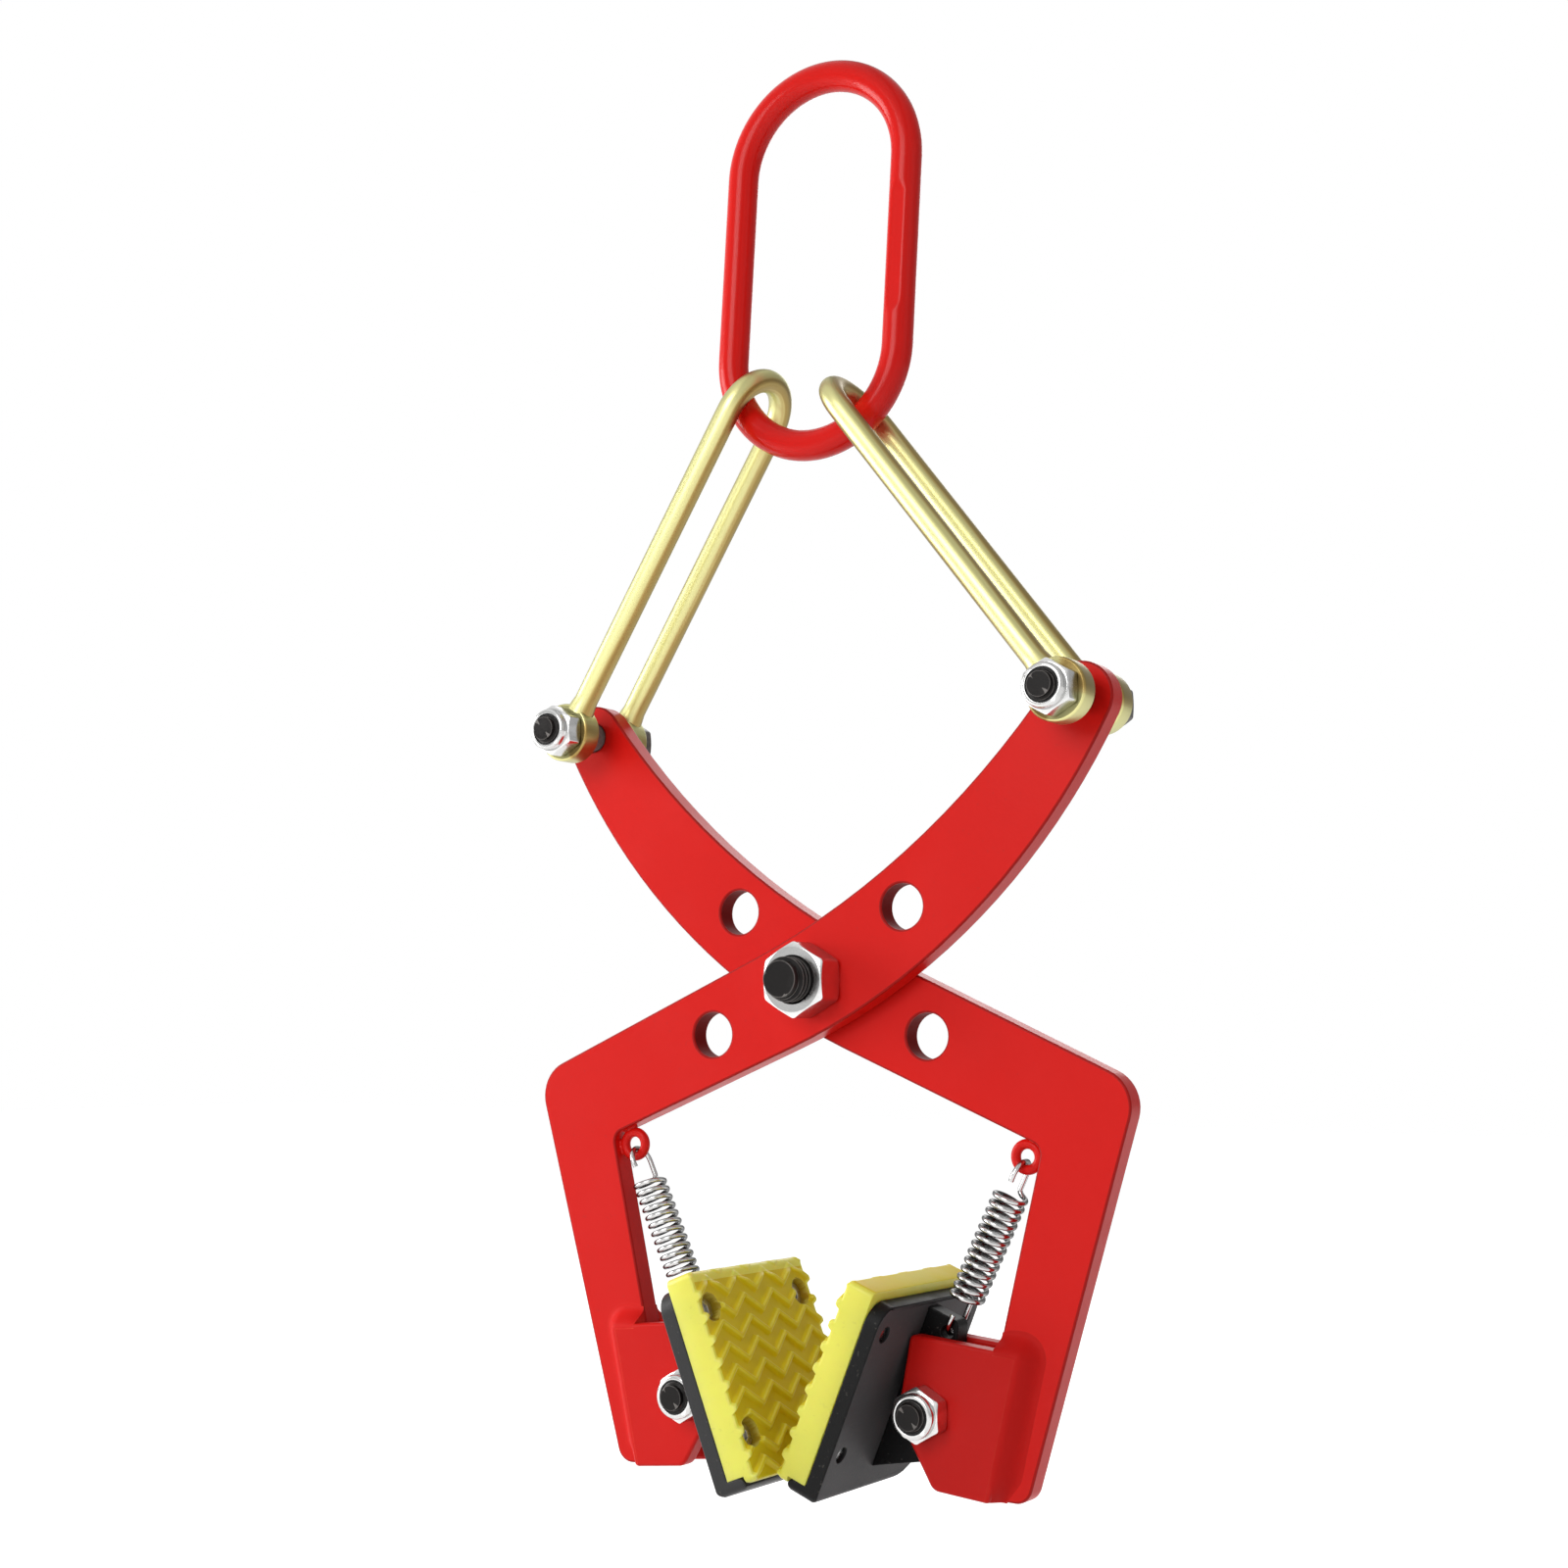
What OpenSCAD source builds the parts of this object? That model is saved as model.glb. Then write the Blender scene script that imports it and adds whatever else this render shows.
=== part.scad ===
// Stone lifting clamp with scissor arms, hanging from its master link. Millimetres, +Z up.
// The origin is the hook seat, the inside of the master link's crown.
// The front arm has its shackle on the right and its jaw on the left. The rear arm is its mirror.

/* [Master link] */
// Diameter of the link's round bar
link_rod = 13; // [12:0.25:14]
// Clear width inside the link
link_inner_w = 67; // [60:1:80]
// Clear length inside the link
link_inner_l = 146; // [130:1:170]
// Lean of the link, crown to the right, in degrees
link_lean = 3; // [0:0.5:6]
// How far the link's lower bend hangs to the left of the arms' middle
link_shift = 4; // [2:0.5:5]
// Depth of the flat that is forged on the link's right limb
link_flat = 0.9; // [0.4:0.1:1.5]
// Length of that flat
link_flat_l = 56; // [40:1:64]
// How far the link and the shackles hang in front of the arms' middle
hang_front = 4; // [0:0.5:5]

/* [Shackles] */
// Diameter of the shackle wire
shackle_rod = 10; // [8:0.5:11]
// Clear gap between a shackle's legs
shackle_gap = 26; // [25:0.25:30]
// Distance from a shackle's bolt to the centre of its bow
shackle_reach = 155; // [140:1:175]
// Outside diameter of the boss at the end of each leg
boss_d = 25; // [22:0.5:28]
// Length of each boss
boss_l = 10; // [8:0.5:11]

/* [Arms] */
// Thickness of an arm plate
arm_t = 10; // [8:0.25:11]
// Gap between the two arm plates
plate_gap = 0.4; // [0.3:0.1:0.8]
// Sideways distance from the pivot to the upper bolt
upper_x = 118.5; // [112:0.5:126]
// Height of the upper bolt over the pivot
upper_z = 107.5; // [102:0.5:114]
// Radius of the arm's rounded upper end
end_r = 14; // [12:0.5:16]
// Point on the line of the shank's outer edge, sideways from the pivot
outer_bend_x = 80; // [76:0.5:84]
// The same point, over the pivot
outer_bend_z = 10; // [6:0.5:14]
// Radius of the blade's outer edge, which runs from that line into the rounded end
outer_bend_r = 280; // [240:5:320]
// Point on the line of the shank's inner edge, sideways from the pivot
inner_bend_x = 45.5; // [42:0.5:50]
// The same point, over the pivot
inner_bend_z = 42; // [38:0.5:46]
// Radius of the blade's inner edge, which runs from that line into the rounded end
inner_bend_r = 350; // [300:5:400]
// Sideways distance from the pivot to the shoulder's corner
shoulder_x = 137; // [130:0.5:144]
// Depth of the shoulder's corner under the pivot
shoulder_z = 40; // [36:0.5:44]
// Radius of the shoulder
shoulder_r = 15; // [8:0.5:22]
// Sideways distance from the pivot to the arm's inner corner
crook_x = 97; // [92:0.5:102]
// Depth of the inner corner under the pivot
crook_z = 64; // [58:0.5:68]
// Radius of the inner corner
crook_r = 5; // [3:0.5:6]
// Sideways distance from the pivot to the inner edge of the foot
foot_inner_x = 65.5; // [62:0.5:68]
// Sideways distance from the pivot to the outer edge of the foot
foot_outer_x = 90.5; // [88:0.5:96]
// Depth of the foot under the pivot
foot_z = 198.5; // [194:0.5:204]
// Radius of the foot's outer corner
foot_r = 7; // [3:0.5:12]
// Diameter of the spare pivot holes
spare_d = 18.5; // [14:0.5:20]
// Spare hole on the blade, sideways from the pivot
spare_up_x = 41.5; // [38:0.5:45]
// Spare hole on the blade, over the pivot
spare_up_z = 29; // [26:0.5:32]
// Spare hole on the shank, sideways from the pivot
spare_low_x = 47.3; // [44:0.5:52]
// Spare hole on the shank, under the pivot
spare_low_z = 22; // [19:0.5:25]

/* [Jaws] */
// Sideways distance from the pivot to the jaw bolt
jaw_x = 51; // [51:0.5:56]
// Depth of the jaw bolt under the pivot
jaw_z = 166.5; // [162:0.5:170]
// Thickness of a cheek plate
cheek_t = 8; // [6:0.5:9]
// Tilt of the pads at rest, in degrees
pad_tilt = 22; // [20:0.5:24]
// Distance from the jaw bolt to the back of the pad holder
pad_back = 17.5; // [16.5:0.25:17.5]
// Height of the cheeks' stop corner over the jaw bolt, along the pad
stop_up = 24.5; // [22:0.5:27]
// Gap between the cheeks' stop corner and the pad holder at rest
stop_gap = 0.2; // [0.1:0.05:0.4]
// How far the cheeks lap onto the leg, sideways from the jaw bolt at their top
cheek_lap_top = 40; // [36:0.5:44]
// The same at their foot
cheek_lap_foot = 27; // [24:0.5:30]

/* [Pads] */
// Width of the pads and of their holders
pad_w = 84; // [70:1:96]
// Length of a pad above the jaw bolt
pad_up = 41.5; // [38:0.5:44]
// Length of a pad below the jaw bolt
pad_down = 38.5; // [36:0.5:40]
// Thickness of a pad under its ribs
pad_t = 12; // [9:0.5:12.5]
// Height of the pad's ribs
rib_h = 2; // [1:0.25:2.5]
// Distance from one rib to the next
rib_pitch = 9; // [8:0.5:12]
// Width of a rib at its crest
rib_w = 3; // [2:0.1:3.4]
// Height of a rib's zigzag
zigzag_h = 7; // [4:0.5:9]
// Zigzags across the pad
zigzags = 4; // [3:1:6]
// Thickness of the holder's plate
holder_t = 6.5; // [5:0.25:7]
// Thickness of the lip under the pad
lip_t = 5; // [4:0.5:6]
// How far the lip reaches under the pad
lip_reach = 7.5; // [5:0.5:10]
// Radius of the holder's lower rear corner
holder_sweep = 26; // [10:1:30]
// Sideways distance of the pad's screws from its middle
screw_y = 34; // [28:0.5:35]
// Distance of the pad's screws from the jaw bolt's level, along the pad
screw_z = 25; // [20:0.5:27]
// Diameter of the pad's screws
screw_d = 6; // [4:0.5:7]
// Diameter of the pockets in the pad for the screw heads
pocket_d = 13; // [11.5:0.5:15]
// Depth of those pockets from the foot of the ribs
pocket_deep = 7; // [6:0.5:8]

/* [Springs] */
// Wire diameter of the springs
spring_wire = 1.8; // [1.2:0.1:1.9]
// Mean diameter of the coils
spring_d = 12.2; // [11.6:0.1:12.6]
// Number of coils
spring_turns = 13; // [9:1:14]
// Length of the neck between each hook and the coils
spring_neck = 8; // [6:0.5:10]
// Diameter of the bar that the spring eyes are bent from
eye_bar = 4; // [3:0.25:4.25]
// Outside diameter of a spring eye
eye_d = 14; // [13:0.25:16]

/* [Bolts] */
// Thread diameter of the pivot bolt
pivot_d = 18; // [14:0.5:20]
// Width across flats of the pivot nut and head
pivot_af = 27; // [24:0.5:30]
// Thread diameter of the upper and the jaw bolts
bolt_d = 12; // [10:0.25:12.5]
// Width across flats of their nuts and heads
bolt_af = 19; // [16:0.5:20]
// Length that each bolt stands out of its nut
bolt_end = 2.5; // [1:0.5:4]
// Length that the pivot bolt stands out of its nut
pivot_end = 10; // [3:0.5:14]

/* [Hidden] */

FRONT = -1;
REAR = 1;
NEAR = -1;
FAR = 1;
run_gap = 0.08;     // radial play of a bolt in a hole that turns on it
fit_gap = 0.05;     // radial play of a bolt in a hole that is fixed to it
side_gap = 0.5;     // play of a lug between its cheeks, on each side
head_gap = 0.3;     // play between the pivot bolt's head and the rear arm
bow_gap = 0.3;      // play between the right shackle's bow and the link
left_bow_play = 1.8;    // how much deeper the left bow hangs over the link
hook_gap = 0.4;     // play of the spring hooks
$fn = 96;

// Middle plane of each arm, and of the shackle and the jaw that it carries
plane_y = (arm_t + plate_gap) / 2;
leg_y = (shackle_gap + shackle_rod) / 2;

// Where the link's lower bend lies, seen from the pivot
bend_r = (link_inner_w + link_rod) / 2;
bow_slack = shackle_gap / 2 - link_rod / 2 - bow_gap;
right_seat = sqrt(bow_slack * bow_slack - plane_y * plane_y);
left_seat = right_seat - left_bow_play;
right_len = shackle_reach + right_seat;
left_len = shackle_reach + left_seat;
bend_rise = sqrt(pow(right_len + bend_r, 2) - pow(upper_x + link_shift, 2));
bend_z = upper_z + bend_rise;
right_angle = atan2(upper_x + link_shift, bend_rise);

// The left shackle ends where its reach meets the same bend
left_span = norm([upper_x - link_shift, bend_rise]);
left_cos = (left_span * left_span + bend_r * bend_r - left_len * left_len) / (2 * left_span * bend_r);
left_bend = atan2(upper_x - link_shift, bend_rise) + acos(left_cos);
left_hang_x = -link_shift - bend_r * sin(left_bend);
left_hang_z = bend_z - bend_r * cos(left_bend);
left_angle = atan2(left_hang_x + upper_x, left_hang_z - upper_z);

// The hook seat, seen from the pivot
limb_l = link_inner_l - link_inner_w;
seat_drop = limb_l + link_inner_w / 2;
seat_x = -link_shift + seat_drop * sin(link_lean);
seat_z = bend_z + seat_drop * cos(link_lean);

// Sizes that follow from the thread diameters
pivot_nut_h = 0.83 * pivot_d;
pivot_head_h = 0.64 * pivot_d;
bolt_nut_h = bolt_d;
bolt_hex_h = 0.72 * bolt_d;
bolt_head_h = 0.62 * bolt_d;
screw_head_d = 1.75 * screw_d;
screw_head_h = 0.6 * screw_d;

// The pad holder and its lug, seen from the jaw bolt
pad_face = pad_back + holder_t;
holder_up = pad_up - 3.5;
lug_t = arm_t - 2 * side_gap;
lug_up = holder_up - 2.5;
lug_boss_r = bolt_d / 2 + 7;
lug_heel = 14;      // depth of the lug behind the holder at its top
lug_back = [4, 14]; // how far the lug's back runs out and down from there
lug_toe = [2, 21];  // the lug's lower corner behind and under the jaw bolt
lug_low = 5.5;      // height of the lug's foot over the pad's foot
hole_in = 11;       // depth of the spring hole behind the holder's back
hole_down = 6;      // depth of the spring hole under the lug's top
screw_short = 1.5;  // how far the screws end inside the holder's back
rib_flank = 1.1;    // how far a rib's foot stands out from its crest, on each side
rib_slant = norm([zigzag_h, pad_w / 2 / zigzags]) / (pad_w / 2 / zigzags);

// Cheek corners, seen from the jaw bolt
cheek_top = 24.5;       // height of the cheeks' upper outer corner
cheek_foot = 0.5;       // height of their lower outer corner over the arm's foot
cheek_toe = [3, 29];    // lower corner, outwards and down
cheek_nose = [12.5, 2]; // corner under the pad's back, inwards and down
jaw_out = cheek_t + arm_t / 2;

// The spring eye sits in the arm's inner corner and touches both edges
crook = [-crook_x, -crook_z];
crook_to_bend = unit([outer_bend_x, outer_bend_z] - crook);
crook_to_foot = unit([-foot_inner_x, -foot_z] - crook);
crook_half = acos(crook_to_bend * crook_to_foot) / 2;
eye_at = crook + unit(crook_to_bend + crook_to_foot) * eye_d / 2 / sin(crook_half);
eye_ring_r = (eye_d - eye_bar) / 2;

// The spring runs from the eye to the hole in the lug
pad_in = [cos(pad_tilt), sin(pad_tilt)];
pad_along = [-sin(pad_tilt), cos(pad_tilt)];
hole_at = [-jaw_x, -jaw_z] + pad_in * (pad_back - hole_in) + pad_along * (lug_up - hole_down);
spring_span = norm(hole_at - eye_at);
spring_lean = atan2(hole_at[0] - eye_at[0], eye_at[1] - hole_at[1]);
wire_r = spring_wire / 2;
coil_r = spring_d / 2;
top_apex = eye_ring_r - eye_bar / 2 - wire_r - hook_gap;
hook_sag = coil_r - sqrt(pow(coil_r - wire_r, 2) - lug_t * lug_t / 4);
hole_r = (hook_sag + wire_r) / 2 + hook_gap;
low_apex = spring_span + hole_r - hook_gap - wire_r;

function unit(v) = v / norm(v);
function turned(v, a) = [v[0] * cos(a) - v[1] * sin(a), v[0] * sin(a) + v[1] * cos(a)];

// An arc of radius q[2] in place of the corner q, between the corners p and s
function corner(p, q, s) =
    let (
        point = [q[0], q[1]],
        into = unit(point - [p[0], p[1]]),
        out = unit([s[0], s[1]] - point),
        turn = atan2(into[0] * out[1] - into[1] * out[0], into * out),
        start = point - into * q[2] * tan(abs(turn) / 2),
        spoke = turned(into, -90 * sign(turn)) * q[2],
        steps = q[2] > 100 ? ceil(abs(turn) / 2) : ceil(abs(turn) / 9)
    )
    q[2] == 0 ? [point] : [for (i = [0:steps]) start - spoke + turned(spoke, turn * i / steps)];

// A closed outline from corners that are each [x, z, radius]
function outline(c) =
    [for (i = [0:len(c) - 1]) each corner(c[(i + len(c) - 1) % len(c)], c[i], c[(i + 1) % len(c)])];

// The centre of a blade edge's arc. It leaves the line from the point a through the point b and ends on the
// arm's rounded end, which lies outside the arc's circle where side is 1 and inside it where side is -1.
function blade_centre(a, b, r, side) =
    let (
        along = unit(b - a),
        up = [-along[1], along[0]],
        to_end = [upper_x, upper_z] - b,
        gap = r - to_end * up,
        reach = r + side * end_r
    )
    b + along * (to_end * along - sqrt(reach * reach - gap * gap)) + up * r;

// Points on that arc, from the line to the rounded end
function blade_arc(a, b, r, side) =
    let (
        centre = blade_centre(a, b, r, side),
        to_end = [upper_x, upper_z] - centre,
        from = atan2(b[1] - a[1], b[0] - a[0]) - 90,
        to = atan2(to_end[1], to_end[0]),
        steps = ceil((to - from) / 2)
    )
    [for (i = [0:steps]) let (t = from + (to - from) * i / steps)
        [centre[0] + r * cos(t), centre[1] + r * sin(t), 0]];

// Frames
module at_pivot() {
    translate([-seat_x, hang_front, -seat_z]) children();
}

// The front arm's own frame, with the pivot at its origin. The rear arm's is its mirror.
module on_arm(side) {
    at_pivot() translate([0, side * plane_y, 0])
        if (side == REAR) mirror([1, 0, 0]) children();
        else children();
}

// The jaw bolt's frame: X points into the pad, Z up along it
module on_pad(side) {
    on_arm(side) translate([-jaw_x, 0, -jaw_z]) rotate([0, -pad_tilt, 0]) children();
}

// A flat piece drawn in X and Z, of thickness t, with its middle at the height y
module plate(t, y = 0) {
    translate([0, y + t / 2, 0]) rotate([90, 0, 0]) linear_extrude(t) children();
}

// A round bar or hole along Y, with its middle at the height y
module bar_y(x, z, r, l, y = 0) {
    translate([x, y + l / 2, z]) rotate([90, 0, 0]) cylinder(r = r, h = l);
}

// Fasteners, drawn along +Z from their seating face
module hexagon(af, h, r_low, r_top) {
    chamfer = 0.08 * af;
    intersection() {
        rotate([0, 0, 30]) cylinder(d = af / cos(30), h = h, $fn = 6);
        union() {
            cylinder(r1 = r_low, r2 = r_low + chamfer, h = chamfer / 2);
            translate([0, 0, chamfer / 2]) cylinder(r = af, h = h - chamfer);
            translate([0, 0, h - chamfer / 2]) cylinder(r1 = r_top + chamfer, r2 = r_top, h = chamfer / 2);
        }
    }
}

module bolt(d, af, head_h, grip, end_l) {
    tip = 0.08 * d;
    color([0.1, 0.1, 0.11]) union() {
        translate([0, 0, -head_h]) hexagon(af, head_h, af / 2, af / 2 + 0.08 * af);
        translate([0, 0, -head_h / 2]) cylinder(d = d, h = head_h / 2 + grip + end_l - tip);
        translate([0, 0, grip + end_l - tip]) cylinder(d1 = d, d2 = d - 2 * tip, h = tip);
    }
}

module plain_nut(d, af, h) {
    color([0.82, 0.83, 0.85]) difference() {
        hexagon(af, h, af / 2, af / 2);
        translate([0, 0, -1]) cylinder(d = d + 2 * fit_gap, h = h + 2);
    }
}

// A lock nut: a hexagon with a round collar on top
module lock_nut(d, af, hex_h, h) {
    collar_r = 0.46 * af;
    round_r = (h - hex_h) / 2;
    color([0.82, 0.83, 0.85]) difference() {
        union() {
            hexagon(af, hex_h, af / 2, af / 2);
            cylinder(r = collar_r, h = h - round_r);
            translate([0, 0, h - round_r]) cylinder(r1 = collar_r, r2 = collar_r - round_r, h = round_r);
        }
        translate([0, 0, -1]) cylinder(d = d + 2 * fit_gap, h = h + 2);
    }
}

// Master link: two half rings and two limbs, with a flat forged on the right limb
module master_link() {
    color([0.87, 0.14, 0.12]) rotate([0, link_lean, 0]) difference() {
        union() {
            for (half = [0, 1])
                translate([0, 0, -link_inner_w / 2 - half * limb_l]) rotate([90, 180 * half, 0])
                    rotate_extrude(angle = 180) translate([bend_r, 0]) circle(d = link_rod);
            for (side = [-1, 1])
                translate([side * bend_r, 0, -link_inner_w / 2 - limb_l]) cylinder(d = link_rod, h = limb_l);
        }
        translate([bend_r - link_rod / 2, -link_rod / 2 - 1, -link_inner_w / 2 - (limb_l + link_flat_l) / 2])
            cube([link_rod, link_flat + 1, link_flat_l]);
    }
}

// Shackles: a bent wire with a boss welded to the end of each leg
module at_upper_bolt(side) {
    on_arm(side) translate([upper_x, -hang_front, upper_z]) children();
}

module shackle_frame(side) {
    at_upper_bolt(side) rotate([0, side == FRONT ? -right_angle : -left_angle, 0]) children();
}

module shackle(side) {
    color([0.72, 0.66, 0.38]) shackle_frame(side) difference() {
        union() {
            translate([0, 0, shackle_reach]) rotate([90, 0, 90])
                rotate_extrude(angle = 180) translate([leg_y, 0]) circle(d = shackle_rod);
            for (y = [-leg_y, leg_y]) translate([0, y, 0]) cylinder(d = shackle_rod, h = shackle_reach);
        }
        bar_y(0, 0, boss_d / 2, 4 * leg_y);
        translate([0, 0, -boss_d / 2]) cube([boss_d, 4 * leg_y, boss_d], center = true);
    }
}

module bosses(side) {
    color([0.72, 0.66, 0.38]) shackle_frame(side) for (y = [-leg_y, leg_y]) difference() {
        bar_y(0, 0, boss_d / 2, boss_l, y);
        bar_y(0, 0, bolt_d / 2 + fit_gap, boss_l + 2, y);
    }
}

module upper_bolt(side) {
    grip = 2 * leg_y + boss_l + bolt_nut_h;
    at_upper_bolt(side) translate([0, leg_y + boss_l / 2, 0]) rotate([90, 0, 0])
        bolt(bolt_d, bolt_af, bolt_head_h, grip, bolt_end);
}

module upper_nut(side) {
    at_upper_bolt(side) translate([0, -leg_y - boss_l / 2, 0]) rotate([90, 0, 0])
        lock_nut(bolt_d, bolt_af, bolt_hex_h, bolt_nut_h);
}

// Arms: a curved blade above the pivot, a shank and a leg below it
module arm_shape() {
    crook = [-crook_x, -crook_z];
    shoulder = [-shoulder_x, -shoulder_z];
    outer_bend = [outer_bend_x, outer_bend_z];
    inner_bend = [inner_bend_x, inner_bend_z];
    outer_edge = blade_arc(crook, outer_bend, outer_bend_r, -1);
    inner_edge = blade_arc(shoulder, inner_bend, inner_bend_r, 1);
    outer_out = [upper_x, upper_z] - blade_centre(crook, outer_bend, outer_bend_r, -1);
    inner_out = blade_centre(shoulder, inner_bend, inner_bend_r, 1) - [upper_x, upper_z];
    end_from = atan2(inner_out[1], inner_out[0]);
    end_to = atan2(outer_out[1], outer_out[0]);
    end_steps = 24;
    polygon(outline([
        for (i = [len(outer_edge) - 1:-1:0]) outer_edge[i],
        [crook[0], crook[1], crook_r],
        [-foot_inner_x, -foot_z + 1, 0],
        [-foot_outer_x, -foot_z, foot_r],
        [shoulder[0], shoulder[1], shoulder_r],
        each inner_edge,
        for (i = [1:end_steps - 1]) let (a = end_from + (end_to - end_from) * i / end_steps)
            [upper_x + end_r * cos(a), upper_z + end_r * sin(a), 0]]));
}

module arm(side) {
    color([0.87, 0.14, 0.12]) on_arm(side) difference() {
        plate(arm_t) arm_shape();
        bar_y(0, 0, pivot_d / 2 + (side == REAR ? run_gap : fit_gap), arm_t + 2);
        bar_y(upper_x, upper_z, bolt_d / 2 + run_gap, arm_t + 2);
        bar_y(spare_up_x, spare_up_z, spare_d / 2, arm_t + 2);
        bar_y(-spare_low_x, -spare_low_z, spare_d / 2, arm_t + 2);
    }
}

// The pivot bolt is fixed to the front arm and the rear arm turns on it
module pivot_bolt() {
    rear_face = plane_y + arm_t / 2 + head_gap;
    front_face = plane_y + arm_t / 2;
    at_pivot() translate([0, rear_face, 0]) rotate([90, 0, 0])
        bolt(pivot_d, pivot_af, pivot_head_h, rear_face + front_face + pivot_nut_h, pivot_end);
}

module pivot_nut() {
    at_pivot() translate([0, -plane_y - arm_t / 2, 0]) rotate([90, 0, 0])
        plain_nut(pivot_d, pivot_af, pivot_nut_h);
}

// Cheeks: plates lapped onto both faces of the leg, with the lug's slot between them
module cheek_shape() {
    stop = [-jaw_x, -jaw_z] + pad_in * (pad_back - stop_gap) + pad_along * stop_up;
    polygon(outline([
        [stop[0], stop[1], 2],
        [-jaw_x - cheek_lap_top, -jaw_z + cheek_top, 2],
        [-jaw_x - cheek_lap_foot, -foot_z + cheek_foot, 2],
        [-jaw_x - cheek_toe[0], -jaw_z - cheek_toe[1], 5],
        [-jaw_x + cheek_nose[0], -jaw_z - cheek_nose[1], 12]]));
}

module cheek(side, face) {
    color([0.8, 0.12, 0.1]) on_arm(side) difference() {
        plate(cheek_t, face * (arm_t + cheek_t) / 2) cheek_shape();
        bar_y(-jaw_x, -jaw_z, bolt_d / 2 + fit_gap, cheek_t + 2, face * (arm_t + cheek_t) / 2);
    }
}

// Spring eye: a ring in the arm's inner corner, with the weld that fills the corner behind it
module spring_eye(side) {
    weld_t = eye_bar * 0.75;
    foot_a = crook + crook_to_bend * (eye_at - crook) * crook_to_bend;
    foot_b = crook + crook_to_foot * (eye_at - crook) * crook_to_foot;
    color([0.87, 0.14, 0.12]) on_arm(side) {
        translate([eye_at[0], 0, eye_at[1]]) rotate([90, 0, 0])
            rotate_extrude() translate([eye_ring_r, 0]) circle(d = eye_bar, $fn = 32);
        plate(weld_t) difference() {
            polygon([crook, foot_a, eye_at, foot_b]);
            arm_shape();
            translate(eye_at) circle(r = eye_ring_r);
        }
    }
}

module jaw_bolt(side) {
    on_arm(side) translate([-jaw_x, jaw_out, -jaw_z]) rotate([90, 0, 0])
        bolt(bolt_d, bolt_af, bolt_head_h, 2 * jaw_out + bolt_nut_h, bolt_end);
}

module jaw_nut(side) {
    on_arm(side) translate([-jaw_x, -jaw_out, -jaw_z]) rotate([90, 0, 0])
        lock_nut(bolt_d, bolt_af, bolt_hex_h, bolt_nut_h);
}

// Spring: a helix between two hooks, as one wire swept along a path
function hook_path(start, stop, centre, toward) =
    [for (a = [start:15:stop]) [0, -coil_r * cos(a), centre + toward * coil_r * sin(a)]];

function spring_path() =
    let (
        bend = 2,
        top_centre = top_apex + coil_r,
        low_centre = low_apex - coil_r,
        coil_top = top_centre + spring_neck,
        coil_low = low_centre - spring_neck,
        skew = asin(bend / coil_r),
        last = 360 * spring_turns - skew,
        steps = ceil(spring_turns * 16)
    )
    concat(
        hook_path(-20, 180, top_centre, -1),
        [for (a = [15:30:75]) let (x = bend * (1 - cos(a)))
            [x, sqrt(coil_r * coil_r - x * x), coil_top - bend * (1 - sin(a))]],
        [for (i = [0:steps]) let (a = skew + (last - skew) * i / steps)
            [coil_r * sin(a), coil_r * cos(a), coil_top + (coil_low - coil_top) * a / (360 * spring_turns)]],
        [for (a = [15:30:75]) let (x = -bend * (1 - sin(a)))
            [x, sqrt(coil_r * coil_r - x * x), coil_low + bend * (1 - cos(a))]],
        [for (a = [0:15:200]) [0, coil_r * cos(a), low_centre + coil_r * sin(a)]]);

// A round wire along a path, with its rings carried from point to point without twist
module wire(path, r, sides) {
    count = len(path);
    along = [for (i = [0:count - 1]) unit(path[min(i + 1, count - 1)] - path[max(i - 1, 0)])];
    across = [for (i = 0, v = unit(cross(along[0], [1, 0, 0])); i < count;
        i = i + 1, v = i < count ? unit(v - (v * along[i]) * along[i]) : v) v];
    rings = [for (i = [0:count - 1]) let (other = cross(along[i], across[i]))
        for (k = [0:sides - 1]) let (a = 360 * k / sides)
            path[i] + r * (cos(a) * across[i] + sin(a) * other)];
    walls = [for (i = [0:count - 2]) for (k = [0:sides - 1])
        [i * sides + k, (i + 1) * sides + k, (i + 1) * sides + (k + 1) % sides, i * sides + (k + 1) % sides]];
    first_cap = [for (k = [0:sides - 1]) k];
    last_cap = [for (k = [sides - 1:-1:0]) (count - 1) * sides + k];
    polyhedron(rings, concat([first_cap, last_cap], walls));
}

module spring(side) {
    color([0.85, 0.86, 0.88]) on_arm(side) translate([eye_at[0], 0, eye_at[1]])
        rotate([0, 180 - spring_lean, 0]) wire(spring_path(), wire_r, 6);
}

// Pad holder: a plate with a lip that hooks under the pad
module holder_profile() {
    low = -pad_down - lip_t;
    polygon(outline([
        [pad_back, holder_up, 0.8],
        [pad_back, low, 3],
        [pad_face + lip_reach, low, 2.4],
        [pad_face + lip_reach, -pad_down, 2.4],
        [pad_face, -pad_down, 0],
        [pad_face, holder_up, 0.8]]));
}

module holder_front() {
    low = -pad_down - lip_t;
    polygon(outline([
        [-pad_w / 2, low, 3],
        [pad_w / 2, low, holder_sweep],
        [pad_w / 2, holder_up, 9],
        [-pad_w / 2, holder_up, 9]]));
}

// The four places of a pad's screws
module at_screws() {
    for (y = [-screw_y, screw_y], z = [-screw_z, screw_z])
        translate([0, y, z + (pad_up - pad_down) / 2]) rotate([0, 90, 0]) children();
}

module holder(side) {
    color([0.13, 0.13, 0.13]) on_pad(side) difference() {
        intersection() {
            plate(pad_w) holder_profile();
            rotate([90, 0, 90]) linear_extrude(pad_face + 2 * lip_reach) holder_front();
        }
        at_screws() cylinder(d = screw_d + 2 * fit_gap, h = pad_face + 1);
    }
}

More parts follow.
